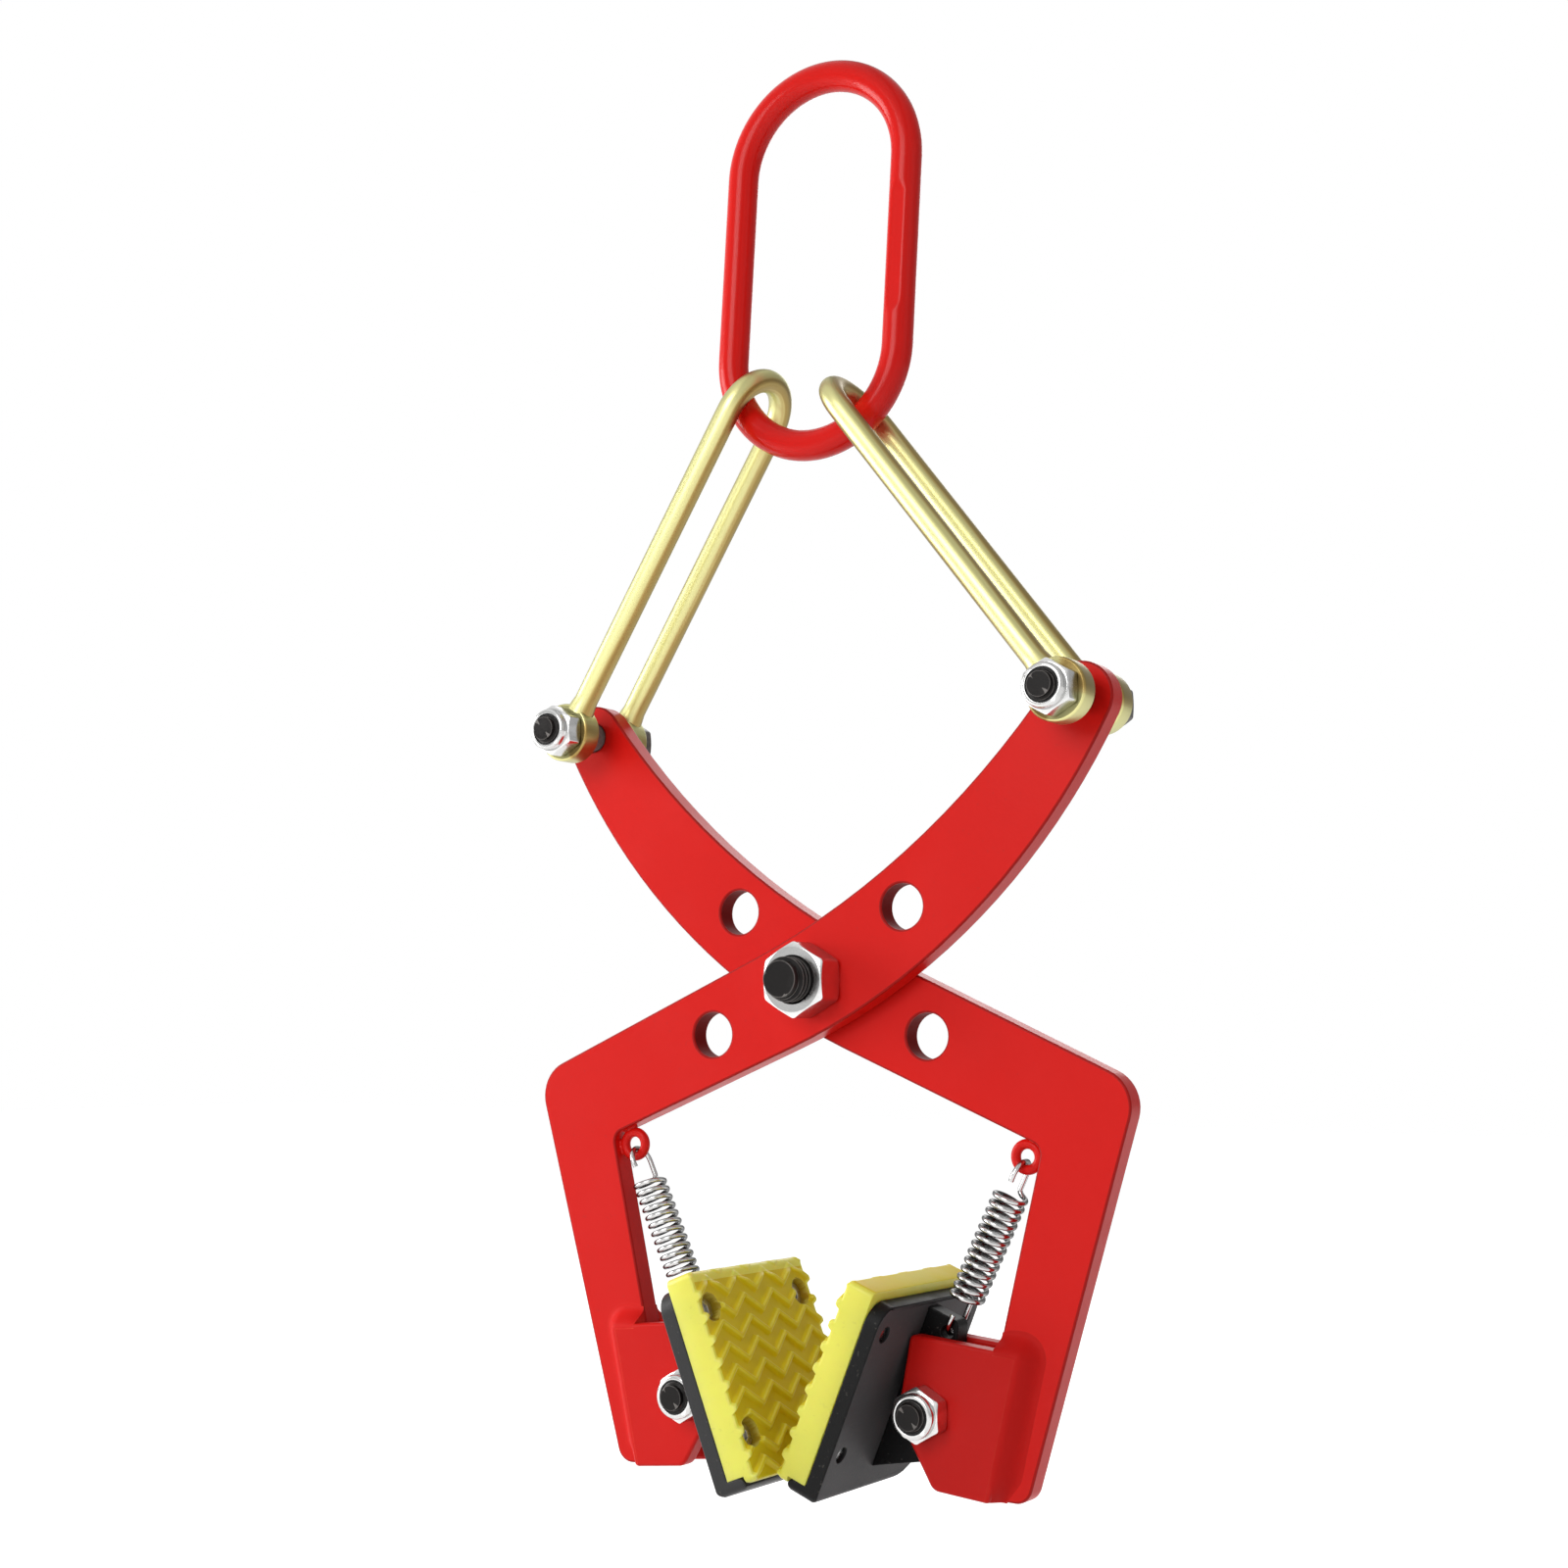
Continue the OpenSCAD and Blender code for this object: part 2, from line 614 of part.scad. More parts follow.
// Lug: the rib that the holder swings on, with the hole for the spring's lower hook
module lug_shape() {
    heel = pad_back - lug_heel;
    inside = lug_boss_r - 1;
    polygon(outline([
        [pad_back, lug_up, 0],
        [heel, lug_up, 3],
        [heel - lug_back[0], lug_up - lug_back[1], 4],
        [-inside, inside / 3, 0],
        [-inside, -inside / 3, 0],
        [-lug_toe[0], -lug_toe[1], 6],
        [pad_back, lug_low - pad_down, 0]]));
    circle(r = lug_boss_r);
}

module lug(side) {
    color([0.1, 0.1, 0.1]) on_pad(side) difference() {
        plate(lug_t) lug_shape();
        bar_y(0, 0, bolt_d / 2 + run_gap, lug_t + 2);
        bar_y(pad_back - hole_in, lug_up - hole_down, hole_r, lug_t + 2);
    }
}

// One zigzag rib across the pad, as a band whose width is w squarely across it
module zigzag(w) {
    count = 2 * zigzags;
    half = w * rib_slant / 2;
    crest = [for (i = [0:count]) [-pad_w / 2 + pad_w * i / count, (i % 2) * zigzag_h]];
    polygon(concat(
        [for (p = crest) p + [0, half]],
        [for (i = [count:-1:0]) crest[i] - [0, half]]));
}

module ribs(w) {
    first = -pad_down - zigzag_h + rib_pitch / 2;
    intersection() {
        for (z = [first:rib_pitch:pad_up]) translate([0, z]) zigzag(w);
        translate([-pad_w / 2, -pad_down]) square([pad_w, pad_down + pad_up]);
    }
}

module pad(side) {
    color([0.9, 0.87, 0.35]) on_pad(side) difference() {
        union() {
            translate([pad_face, -pad_w / 2, -pad_down]) cube([pad_t, pad_w, pad_down + pad_up]);
            translate([pad_face + pad_t / 2, 0, 0]) rotate([90, 0, 90]) {
                linear_extrude(pad_t / 2 + rib_h / 2) ribs(rib_w + 2 * rib_flank);
                linear_extrude(pad_t / 2 + rib_h) ribs(rib_w);
            }
        }
        at_screws() {
            cylinder(d = screw_d + 2 * fit_gap, h = pad_face + pad_t);
            translate([0, 0, pad_face + pad_t - pocket_deep])
                cylinder(d = pocket_d, h = pocket_deep + rib_h + 1);
        }
    }
}

module pad_screws(side) {
    seat = pad_face + pad_t - pocket_deep;
    socket_af = 0.8 * screw_d;
    color([0.75, 0.76, 0.78]) on_pad(side) at_screws() difference() {
        union() {
            translate([0, 0, pad_back + screw_short])
                cylinder(d = screw_d, h = seat - pad_back - screw_short);
            translate([0, 0, seat]) cylinder(d = screw_head_d, h = screw_head_h);
        }
        translate([0, 0, seat + screw_head_h / 2])
            cylinder(d = socket_af / cos(30), h = screw_head_h, $fn = 6);
    }
}

master_link();
shackle(FRONT);  // right_shackle
shackle(REAR);  // left_shackle
bosses(FRONT);  // right_bosses
bosses(REAR);  // left_bosses
upper_bolt(FRONT);  // right_upper_bolt
upper_bolt(REAR);  // left_upper_bolt
upper_nut(FRONT);  // right_upper_nut
upper_nut(REAR);  // left_upper_nut
arm(FRONT);  // front_arm
arm(REAR);  // rear_arm
pivot_bolt();
pivot_nut();
cheek(FRONT, NEAR);  // left_cheek_front
cheek(FRONT, FAR);  // left_cheek_rear
cheek(REAR, NEAR);  // right_cheek_front
cheek(REAR, FAR);  // right_cheek_rear
spring_eye(FRONT);  // left_spring_eye
spring_eye(REAR);  // right_spring_eye
jaw_bolt(FRONT);  // left_jaw_bolt
jaw_bolt(REAR);  // right_jaw_bolt
jaw_nut(FRONT);  // left_jaw_nut
jaw_nut(REAR);  // right_jaw_nut
spring(FRONT);  // left_spring
spring(REAR);  // right_spring
holder(FRONT);  // left_holder
holder(REAR);  // right_holder
lug(FRONT);  // left_lug
lug(REAR);  // right_lug
pad(FRONT);  // left_pad
pad(REAR);  // right_pad
pad_screws(FRONT);  // left_pad_screws
pad_screws(REAR);  // right_pad_screws
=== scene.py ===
"""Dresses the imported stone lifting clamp: its pieces, finishes, light and camera."""
import math

import bmesh
import bpy
from bpy.props import FloatProperty, FloatVectorProperty, IntProperty, PointerProperty
from bpy.types import Operator, Panel, PropertyGroup
from mathutils import Matrix, Vector


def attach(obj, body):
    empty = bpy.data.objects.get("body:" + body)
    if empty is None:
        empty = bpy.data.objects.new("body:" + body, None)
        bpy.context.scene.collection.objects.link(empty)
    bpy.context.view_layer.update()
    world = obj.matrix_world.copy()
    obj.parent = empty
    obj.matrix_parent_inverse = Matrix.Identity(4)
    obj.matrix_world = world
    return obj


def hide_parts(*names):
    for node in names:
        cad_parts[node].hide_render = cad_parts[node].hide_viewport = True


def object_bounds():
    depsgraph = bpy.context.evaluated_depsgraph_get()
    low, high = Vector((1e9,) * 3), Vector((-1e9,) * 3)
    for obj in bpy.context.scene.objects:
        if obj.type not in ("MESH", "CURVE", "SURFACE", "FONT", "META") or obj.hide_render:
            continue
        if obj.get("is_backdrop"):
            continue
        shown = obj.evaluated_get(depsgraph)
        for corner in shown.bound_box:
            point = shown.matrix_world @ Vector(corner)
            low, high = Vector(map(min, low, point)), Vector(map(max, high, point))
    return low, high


bl_info = {
    "name": "Stone Lifting Clamp",
    "version": (1, 0, 0),
    "blender": (4, 5, 0),
    "location": "View3D > Sidebar > Clamp",
    "description": "Builds the visible pieces and finishes of a stone lifting clamp",
    "category": "Object",
}

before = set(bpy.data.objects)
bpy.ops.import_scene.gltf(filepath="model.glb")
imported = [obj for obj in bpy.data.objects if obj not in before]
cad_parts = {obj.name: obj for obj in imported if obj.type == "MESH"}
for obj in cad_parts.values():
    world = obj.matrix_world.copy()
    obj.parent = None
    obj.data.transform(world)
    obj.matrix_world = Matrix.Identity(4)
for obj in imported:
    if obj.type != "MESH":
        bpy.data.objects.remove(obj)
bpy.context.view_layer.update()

MM = 0.001
FRONT, REAR = -1, 1
X_AXIS, Y_AXIS, Z_AXIS = Vector((1, 0, 0)), Vector((0, 1, 0)), Vector((0, 0, 1))
# Each arm: its side, the words for its upper end and its jaw, and its body
ARMS = ((FRONT, "right", "left", "front_arm"), (REAR, "left", "right", "rear_arm"))

# Sizes in mm, as in the part's source
LINK_ROD, LINK_W, LINK_L, LINK_LEAN, LINK_SHIFT = 13.0, 67.0, 146.0, 3.0, 4.0
LINK_FLAT, LINK_FLAT_L = 0.9, 56.0
WIRE, SHACKLE_GAP, REACH, BOSS_D, BOSS_L = 10.0, 26.0, 155.0, 25.0, 10.0
ARM_T, PLATE_GAP, HANG_FRONT = 10.0, 0.4, 4.0
UPPER = (118.5, 107.5)
JAW = (-51.0, -166.5)
SPARE_R, SPARE_HOLES = 9.25, ((41.5, 29.0), (-47.3, -22.0))
CROOK = Vector((-97.0, -64.0))
TO_BEND = Vector((80.0, 10.0)) - CROOK
TO_FOOT = Vector((-65.5, -198.5)) - CROOK
CHEEK_T = 8.0
PAD_TILT, PAD_BACK, HOLDER_T, PAD_W = 22.0, 17.5, 6.5, 84.0
PAD_UP, PAD_DOWN, PAD_T = 41.5, 38.5, 12.0
SCREW_Y, SCREW_Z, POCKET_DEEP = 34.0, 25.0, 7.0
SPRING_D, SPRING_WIRE, SPRING_TURNS, SPRING_NECK = 12.2, 1.8, 13, 8.0
EYE_D, EYE_BAR = 14.0, 4.0
PIVOT_D, PIVOT_AF, PIVOT_END = 18.0, 27.0, 10.0
BOLT_D, BOLT_AF, BOLT_END = 12.0, 19.0, 2.5
HEAD_GAP, FIT_GAP, BOW_GAP, LEFT_BOW_PLAY = 0.3, 0.05, 0.3, 1.8
HOLE_IN, HOLE_DOWN = 11.0, 6.0

# Sizes in mm that only the scene has
BOLT_TIP, WIRE_EXTRA, LUG_HOLE_R = 0.12, 0.16, 2.6
PAD_TOE, POCKET_R = 3.0, 5.6
WELD_LINE = Vector((-78.0, -197.6)), Vector((-91.0, -142.0)), Vector((-79.6, -140.86))
WELD_OUT = Vector((-0.9737, -0.2278)), Vector((-0.1, 0.995))
WELD_ROUND = 2.0

PLANE_Y = (ARM_T + PLATE_GAP) / 2
LEG_Y = (SHACKLE_GAP + WIRE) / 2
BEND_R = (LINK_W + LINK_ROD) / 2
PAD_FACE = PAD_BACK + HOLDER_T
LUG_UP = PAD_UP - 6.0
LUG_T = ARM_T - 1.0
JAW_OUT = CHEEK_T + ARM_T / 2
BOSS_OUT = LEG_Y + BOSS_L / 2
BOLT_BORE, PIVOT_BORE = BOLT_D / 2 + FIT_GAP, PIVOT_D / 2 + FIT_GAP
PIVOT_NUT_H, PIVOT_HEAD_H = 0.83 * PIVOT_D, 0.64 * PIVOT_D
NUT_HEX_H, BOLT_HEAD_H = 0.72 * BOLT_D, 0.62 * BOLT_D

# How the linkage hangs: the angles of the shackles, and the hook seat above the pivot
_slack = SHACKLE_GAP / 2 - LINK_ROD / 2 - BOW_GAP
_right_len = REACH + math.sqrt(_slack**2 - PLANE_Y**2)
_left_len = _right_len - LEFT_BOW_PLAY
_rise = math.sqrt((_right_len + BEND_R) ** 2 - (UPPER[0] + LINK_SHIFT) ** 2)
BEND_Z = UPPER[1] + _rise
RIGHT_ANGLE = math.degrees(math.atan2(UPPER[0] + LINK_SHIFT, _rise))
_span = math.hypot(UPPER[0] - LINK_SHIFT, _rise)
_cos = (_span**2 + BEND_R**2 - _left_len**2) / (2 * _span * BEND_R)
_bend = math.atan2(UPPER[0] - LINK_SHIFT, _rise) + math.acos(_cos)
_hang_x = -LINK_SHIFT - BEND_R * math.sin(_bend)
_hang_z = BEND_Z - BEND_R * math.cos(_bend)
LEFT_ANGLE = math.degrees(math.atan2(_hang_x + UPPER[0], _hang_z - UPPER[1]))
LIMB_L = LINK_L - LINK_W
_drop = LIMB_L + LINK_W / 2
SEAT_X = -LINK_SHIFT + _drop * math.sin(math.radians(LINK_LEAN))
SEAT_Z = BEND_Z + _drop * math.cos(math.radians(LINK_LEAN))

# The photo's view: azimuth, elevation and roll in degrees, and sizes in mm
VIEW_ANGLES = (31.485, -6.382, 0.413)
VIEW_POINT, VIEW_DISTANCE, VIEW_LENS = Vector((-19.69, HANG_FRONT, 81.99)), 950.68, 52.4

# The studio: walls seen in reflections, from left to right, with their brightness; the world's
# light on the surfaces; and the lamps, each with its place and size in metres and its power
WALLS = ((0.0, 0.62), (0.2, 0.95), (0.4, 0.9), (0.52, 0.42), (0.64, 0.78), (0.82, 0.5), (1.0, 0.42))
EVEN_LIGHT = 0.38
LAMPS = (
    ("Key", (-0.08, -1.62, 0.3), 0.9, 10.3),
    ("Side", (-1.45, -0.55, -0.1), 0.8, 13.0),
    ("Fill", (1.6, -0.2, 0.2), 0.9, 0.7),
    ("Back", (-0.5, 1.5, 0.4), 0.8, 4.0))


# ---------------------------------------------------------------- settings


class ClampSizes(PropertyGroup):
    """Small sizes of the clamp's surfaces"""

    plate_edge: FloatProperty(
        name="Plate edge", description="Radius on the edges of the arms and cheeks, painted shade",
        default=0.0009, min=0.0002, max=0.002, unit="LENGTH", precision=4)
    holder_edge: FloatProperty(
        name="Holder edge", description="Radius on the edges of the pad holders",
        default=0.0008, min=0.0002, max=0.0018, unit="LENGTH", precision=4)
    weld_reach: FloatProperty(
        name="Weld", description="How far the ground and painted weld runs out from each cheek",
        default=0.008, min=0.004, max=0.01, unit="LENGTH", precision=4)
    rib_height: FloatProperty(
        name="Rib height", description="Height of the ribs on the pads",
        default=0.002, min=0.001, max=0.002, unit="LENGTH", precision=4)
    rib_pitch: FloatProperty(
        name="Rib pitch", description="Distance from one rib to the next",
        default=0.009, min=0.008, max=0.012, unit="LENGTH", precision=4)
    zigzag_height: FloatProperty(
        name="Zigzag height", description="Height of a rib's zigzag",
        default=0.007, min=0.004, max=0.009, unit="LENGTH", precision=4)
    zigzags: IntProperty(
        name="Zigzags", description="Zigzags across a pad", default=4, min=3, max=6)
    pivot_pitch: FloatProperty(
        name="Pivot thread", description="Pitch of the pivot bolt's thread",
        default=0.0025, min=0.0015, max=0.003, unit="LENGTH", precision=4)
    bolt_pitch: FloatProperty(
        name="Bolt thread", description="Pitch of the thread of the smaller bolts",
        default=0.00175, min=0.001, max=0.002, unit="LENGTH", precision=5)


class ClampColours(PropertyGroup):
    """Colours of the clamp's finishes"""

    coat: FloatVectorProperty(
        name="Powder coat", description="Red of the arms and the master link",
        default=(0.72, 0.0075, 0.0045), subtype="COLOR", min=0, max=1)
    zinc_pale: FloatVectorProperty(
        name="Yellow zinc, pale", description="Pale tone of the shackles' plating",
        default=(0.75, 0.715, 0.33), subtype="COLOR", min=0, max=1)
    zinc_gold: FloatVectorProperty(
        name="Yellow zinc, gold", description="Golden tone of the shackles' plating",
        default=(0.5, 0.34, 0.11), subtype="COLOR", min=0, max=1)
    bright: FloatVectorProperty(
        name="Bright zinc", description="Plating of the nuts",
        default=(0.66, 0.66, 0.65), subtype="COLOR", min=0, max=1)
    oxide: FloatVectorProperty(
        name="Black oxide", description="Bolts", default=(0.009, 0.0075, 0.007),
        subtype="COLOR", min=0, max=1)
    holder: FloatVectorProperty(
        name="Black paint", description="Pad holders and lugs", default=(0.017, 0.017, 0.0175),
        subtype="COLOR", min=0, max=1)
    pad: FloatVectorProperty(
        name="Pad", description="Yellow polyurethane of the pads", default=(0.93, 0.89, 0.12),
        subtype="COLOR", min=0, max=1)
    wire: FloatVectorProperty(
        name="Spring wire", description="Bright steel of the springs", default=(0.6, 0.6, 0.595),
        subtype="COLOR", min=0, max=1)
    backdrop: FloatProperty(
        name="Backdrop", description="How bright the backdrop looks to the camera",
        default=1.0, min=0.5, max=1.0, subtype="FACTOR")


# ---------------------------------------------------------------- frames


def at_pivot():
    """The clamp's own frame: the pivot's middle, in metres."""
    return Matrix.Scale(MM, 4) @ Matrix.Translation((-SEAT_X, HANG_FRONT, -SEAT_Z))


def on_arm(side):
    """An arm's frame. The rear arm's is the mirror of the front arm's."""
    turn = Matrix.Scale(-1, 4, X_AXIS) if side == REAR else Matrix.Identity(4)
    return at_pivot() @ Matrix.Translation((0, side * PLANE_Y, 0)) @ turn


def at_jaw(side):
    """An arm's frame, moved to its jaw bolt."""
    return on_arm(side) @ Matrix.Translation((JAW[0], 0, JAW[1]))


def on_pad(side):
    """The jaw bolt's frame: X into the pad, Z up along it."""
    return at_jaw(side) @ Matrix.Rotation(math.radians(-PAD_TILT), 4, "Y")


def on_upper_bolt(side):
    """The frame of an upper bolt."""
    return on_arm(side) @ Matrix.Translation((UPPER[0], -HANG_FRONT, UPPER[1]))


def along_shackle(side):
    """A shackle's frame, with Z from its bolt to its bow."""
    angle = RIGHT_ANGLE if side == FRONT else LEFT_ANGLE
    return on_upper_bolt(side) @ Matrix.Rotation(math.radians(-angle), 4, "Y")


def along_link():
    """The master link's frame: the hook seat, leaning with the link."""
    return Matrix.Scale(MM, 4) @ Matrix.Rotation(math.radians(LINK_LEAN), 4, "Y")


def bolt_axis(base, y):
    """A frame on base whose Z runs to the front from the seating face at y."""
    return base @ Matrix.Translation((0, y, 0)) @ Matrix.Rotation(math.radians(90), 4, "X")


# ---------------------------------------------------------------- mesh tools


def smooth(t):
    """An eased step from 0 to 1."""
    t = min(1.0, max(0.0, t))
    return t * t * (3 - 2 * t)


def piece(name, bm, matrix, body, nodes, slot, *materials, angle):
    """Makes an object from a bmesh, hangs it on its body and hides the CAD nodes it stands for. Edges over the
    angle stay sharp.
    """
    bm.transform(matrix)
    bmesh.ops.recalc_face_normals(bm, faces=bm.faces)
    mesh = bpy.data.meshes.new(name)
    bm.to_mesh(mesh)
    bm.free()
    mesh.shade_smooth()
    mesh.set_sharp_from_angle(angle=math.radians(angle))
    obj = bpy.data.objects.new(name, mesh)
    bpy.context.scene.collection.objects.link(obj)
    for material in materials:
        mesh.materials.append(material)
    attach(obj, body)
    if nodes:
        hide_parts(*nodes)
    return obj


def soften(node, name, body, slot, width, *materials, segments=3):
    """A copy of a CAD node with small radii, width in metres, on its sharp edges."""
    merge, level, sharp = 2e-6, math.radians(0.3), math.radians(40)
    bm = bmesh.new()
    bm.from_mesh(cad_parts[node].data)
    bmesh.ops.remove_doubles(bm, verts=bm.verts, dist=merge)
    bmesh.ops.dissolve_limit(
        bm, angle_limit=level, verts=bm.verts, edges=bm.edges, use_dissolve_boundaries=False)
    bmesh.ops.recalc_face_normals(bm, faces=bm.faces)
    edges = [e for e in bm.edges if len(e.link_faces) == 2 and e.calc_face_angle(0) > sharp]
    bmesh.ops.bevel(
        bm, geom=edges, offset=width, offset_type="OFFSET", segments=segments, profile=0.5,
        affect="EDGES", clamp_overlap=False, loop_slide=False, miter_outer="ARC",
        face_strength_mode="ALL")
    obj = piece(name, bm, Matrix.Identity(4), body, [node], slot, *materials, angle=34)
    even = obj.modifiers.new("Even shading", "WEIGHTED_NORMAL")
    even.keep_sharp = True
    even.use_face_influence = True
    return obj


def grid_faces(bm, rows, wrap_u, wrap_v):
    """Faces between rows of vertices, closed round u or v where asked."""
    nu, nv = len(rows), len(rows[0])
    for i in range(nu if wrap_u else nu - 1):
        a, b = rows[i], rows[(i + 1) % nu]
        for j in range(nv if wrap_v else nv - 1):
            k = (j + 1) % nv
            bm.faces.new((a[j], b[j], b[k], a[k]))


def sweep(bm, path, radius, sides, closed=False, binormal=None, shape=None, turn=1):
    """A round bar along a path, with a UV map: u round the bar, v along it in metres.

    radius is a number or a function of the point's index, binormal a fixed direction across the
    bar, and shape a function that moves each vertex. turn is -1 where the bar is drawn mirrored.
    """
    n = len(path)
    rows = []
    across = None
    lengths = [0.0]
    for i in range(1, n + 1):
        lengths.append(lengths[-1] + (path[i % n] - path[i - 1]).length * MM)
    for i, p in enumerate(path):
        before = path[(i - 1) % n] if closed or i else path[0]
        after = path[(i + 1) % n] if closed or i < n - 1 else path[-1]
        along = (after - before).normalized()
        if binormal is not None:
            across = binormal
        elif across is None:
            across = along.orthogonal().normalized()
        else:
            across = (across - along * across.dot(along)).normalized()
        other = along.cross(across).normalized()
        r = radius(i) if callable(radius) else radius
        row = []
        for k in range(sides):
            t = 2 * math.pi * k / sides
            v = p + r * (math.cos(t) * across + math.sin(t) * other)
            row.append(bm.verts.new(shape(v) if shape else v))
        rows.append(row)
    uv = bm.loops.layers.uv.verify()
    for i in range(n if closed else n - 1):
        a, b = rows[i], rows[(i + 1) % n]
        for k in range(sides):
            m = (k + 1) % sides
            face = bm.faces.new((a[k], b[k], b[m], a[m]))
            for loop, (du, dv) in zip(face.loops, ((0, 0), (0, 1), (1, 1), (1, 0))):
                loop[uv].uv = (0.5 - turn * (0.5 - (k + du) / sides), lengths[i + dv])
    if not closed:
        bm.faces.new(rows[0])
        bm.faces.new(rows[-1])


def spoke(bm, profile, angle, matrix):
    """A row of vertices from (radius, height) points, in one direction from Z."""
    row = []
    for r, z in profile:
        v = Vector((r * math.cos(angle), r * math.sin(angle), z))
        row.append(bm.verts.new(matrix @ v if matrix else v))
    return row


def turned(bm, profile, sides, matrix=None):
    """A closed ring or a solid from (radius, height) points, turned about Z."""
    made = [spoke(bm, profile, 2 * math.pi * i / sides, matrix) for i in range(sides)]
    uv = bm.loops.layers.uv.verify()
    for i in range(sides):
        for j in range(len(profile)):
            k, m = (j + 1) % len(profile), (i + 1) % sides
            face = bm.faces.new((made[i][j], made[m][j], made[m][k], made[i][k]))
            for loop, (u, r) in zip(face.loops, ((i, j), (i + 1, j), (i + 1, k), (i, k))):
                loop[uv].uv = (u / sides, profile[r][1] * MM)
    bmesh.ops.remove_doubles(bm, verts=[v for row in made for v in row], dist=1e-5)


def rounded(corners, steps=5):
    """A profile with arcs at the corners that are given as (x, y, radius)."""
    out = []
    n = len(corners)
    for i, (x, y, r) in enumerate(corners):
        q = Vector((x, y))
        if r == 0:
            out.append((x, y))
            continue
        # The arc's middle stands off the corner along the line that halves its angle
        p = Vector(corners[i - 1][:2])
        s = Vector(corners[(i + 1) % n][:2])
        a, b = (p - q).normalized(), (s - q).normalized()
        half = a.angle(b) / 2
        centre = q + (a + b).normalized() * r / math.sin(half)
        start, end = q + a * r / math.tan(half), q + b * r / math.tan(half)
        for k in range(steps + 1):
            m = (start - centre).lerp(end - centre, k / steps).normalized() * r
            out.append(tuple(centre + m))
    return out


def hex_radius(af, angle, corner):
    """How far a hexagon's side is from its middle in one direction, with rounded corners."""
    off = (math.degrees(angle) + 30) % 60 - 30
    return min(af / 2 / math.cos(math.radians(off)), af / math.sqrt(3) - corner)


def hex_body(bm, af, height, bore, low_face, top_face, matrix=None):
    """A hexagon with its corners chamfered by the usual 30 degree cones, bored if bore is over 0.

    low_face and top_face are the radii of the round faces inside the chamfers.
    """
    slope, countersink, bore_edge = math.tan(math.radians(30)), 0.9, 0.8
    face_edge, face_drop, side_edge = 0.25, 0.04, 0.12
    inner = bore + countersink if bore else 0.0
    rows = []
    for side in range(6):
        for off in (-30, -29.4, -28.6, -27, -24, -18, -10, 0, 10, 18, 24, 27, 28.6, 29.4):
            t = math.radians(60 * side + off)
            r = hex_radius(af, t, 0.012 * af)
            low, top = min(r, low_face), min(r, top_face)
            flat_low, flat_top = low - face_edge, top - face_edge
            cone_low, cone_top = max(0.0, r - low_face) * slope, max(0.0, r - top_face) * slope
            pts = [(flat_low, 0.0), (low, face_drop), (r, cone_low + side_edge),
                   (r, height - cone_top - side_edge), (top, height - face_drop), (flat_top, height)]
            pts += [(inner + (flat_top - inner) * k, height) for k in (0.94, 0.86, 0.7, 0.4)]
            if bore:
                pts += [(inner, height), (bore, height - bore_edge), (bore, bore_edge), (inner, 0.0)]
            else:
                pts += [(0.0, height), (0.0, 0.0)]
            pts += [(inner + (flat_low - inner) * k, 0.0) for k in (0.4, 0.7, 0.86, 0.94)]
            rows.append(spoke(bm, pts, t, matrix))
    grid_faces(bm, rows, True, True)
    bmesh.ops.remove_doubles(bm, verts=bm.verts, dist=1e-4)
    bmesh.ops.delete(bm, geom=[e for e in bm.edges if not e.link_faces], context="EDGES")


def thread(bm, radius, start, end, pitch, pilot):
    """The threaded end of a bolt: a helical groove that runs out at a plain pilot of the given length."""
    sides, rings_per_turn = 64, 14
    depth, crest, flank = 0.6 * pitch, 0.12, 0.68
    slim, taper = 0.82 * radius, 1.6
    count = max(8, int((end - start) / pitch * rings_per_turn))
    rows = []
    for i in range(count + 1):
        z = start + (end - start) * i / count
        row = []
        for k in range(sides):
            t = k / sides
            wave = abs(2 * ((z / pitch - t) % 1.0) - 1)
            cut = depth * min(1.0, max(0.0, (wave - crest) / flank))
            over = z - (end - pilot)
            r = radius - cut if over < 0 else min(radius - cut, max(slim, radius - taper * over))
            a = 2 * math.pi * t
            row.append(bm.verts.new((r * math.cos(a), r * math.sin(a), z)))
        rows.append(row)
    grid_faces(bm, rows, False, True)
    bm.faces.new(rows[0])
    rings = [rows[-1]]
    for share in (0.97, 0.92, 0.85, 0.5):
        rings.append([bm.verts.new((v.co.x * share, v.co.y * share, end + BOLT_TIP)) for v in rows[-1]])
    grid_faces(bm, rings, False, True)
    bm.faces.new(rings[-1])


def arc(centre, r, start, stop, steps, up, over):
    """Points on an arc in the plane of two directions, angles in degrees."""
    out = []
    for i in range(steps + 1):
        t = math.radians(start + (stop - start) * i / steps)
        out.append(centre + r * (math.cos(t) * over + math.sin(t) * up))
    return out


# ---------------------------------------------------------------- effects shared by the finishes


def feed(tree, value, socket):
    """Puts a number, a colour or another node's output into a socket."""
    if isinstance(value, bpy.types.NodeSocket):
        tree.links.new(value, socket)
    else:
        socket.default_value = value


def math_node(tree, operation, a, b=0.0, clamp=False):
    """A math node with its inputs given as sockets or numbers."""
    node = tree.nodes.new("ShaderNodeMath")
    node.operation = operation
    node.use_clamp = clamp
    feed(tree, a, node.inputs[0])
    feed(tree, b, node.inputs[1])
    return node.outputs[0]


def stretch(tree, value, start, gain, clamp=True):
    """(value - start) * gain, kept between 0 and 1 where clamp is set."""
    return math_node(tree, "MULTIPLY", math_node(tree, "SUBTRACT", value, start), gain, clamp)


def map_range(tree, value, low, high, from_low=0.0):
    """A value between from_low and 1 moved to between low and high."""
    node = tree.nodes.new("ShaderNodeMapRange")
    for key, given in (("Value", value), ("From Min", from_low), ("To Min", low), ("To Max", high)):
        feed(tree, given, node.inputs[key])
    return node.outputs["Result"]


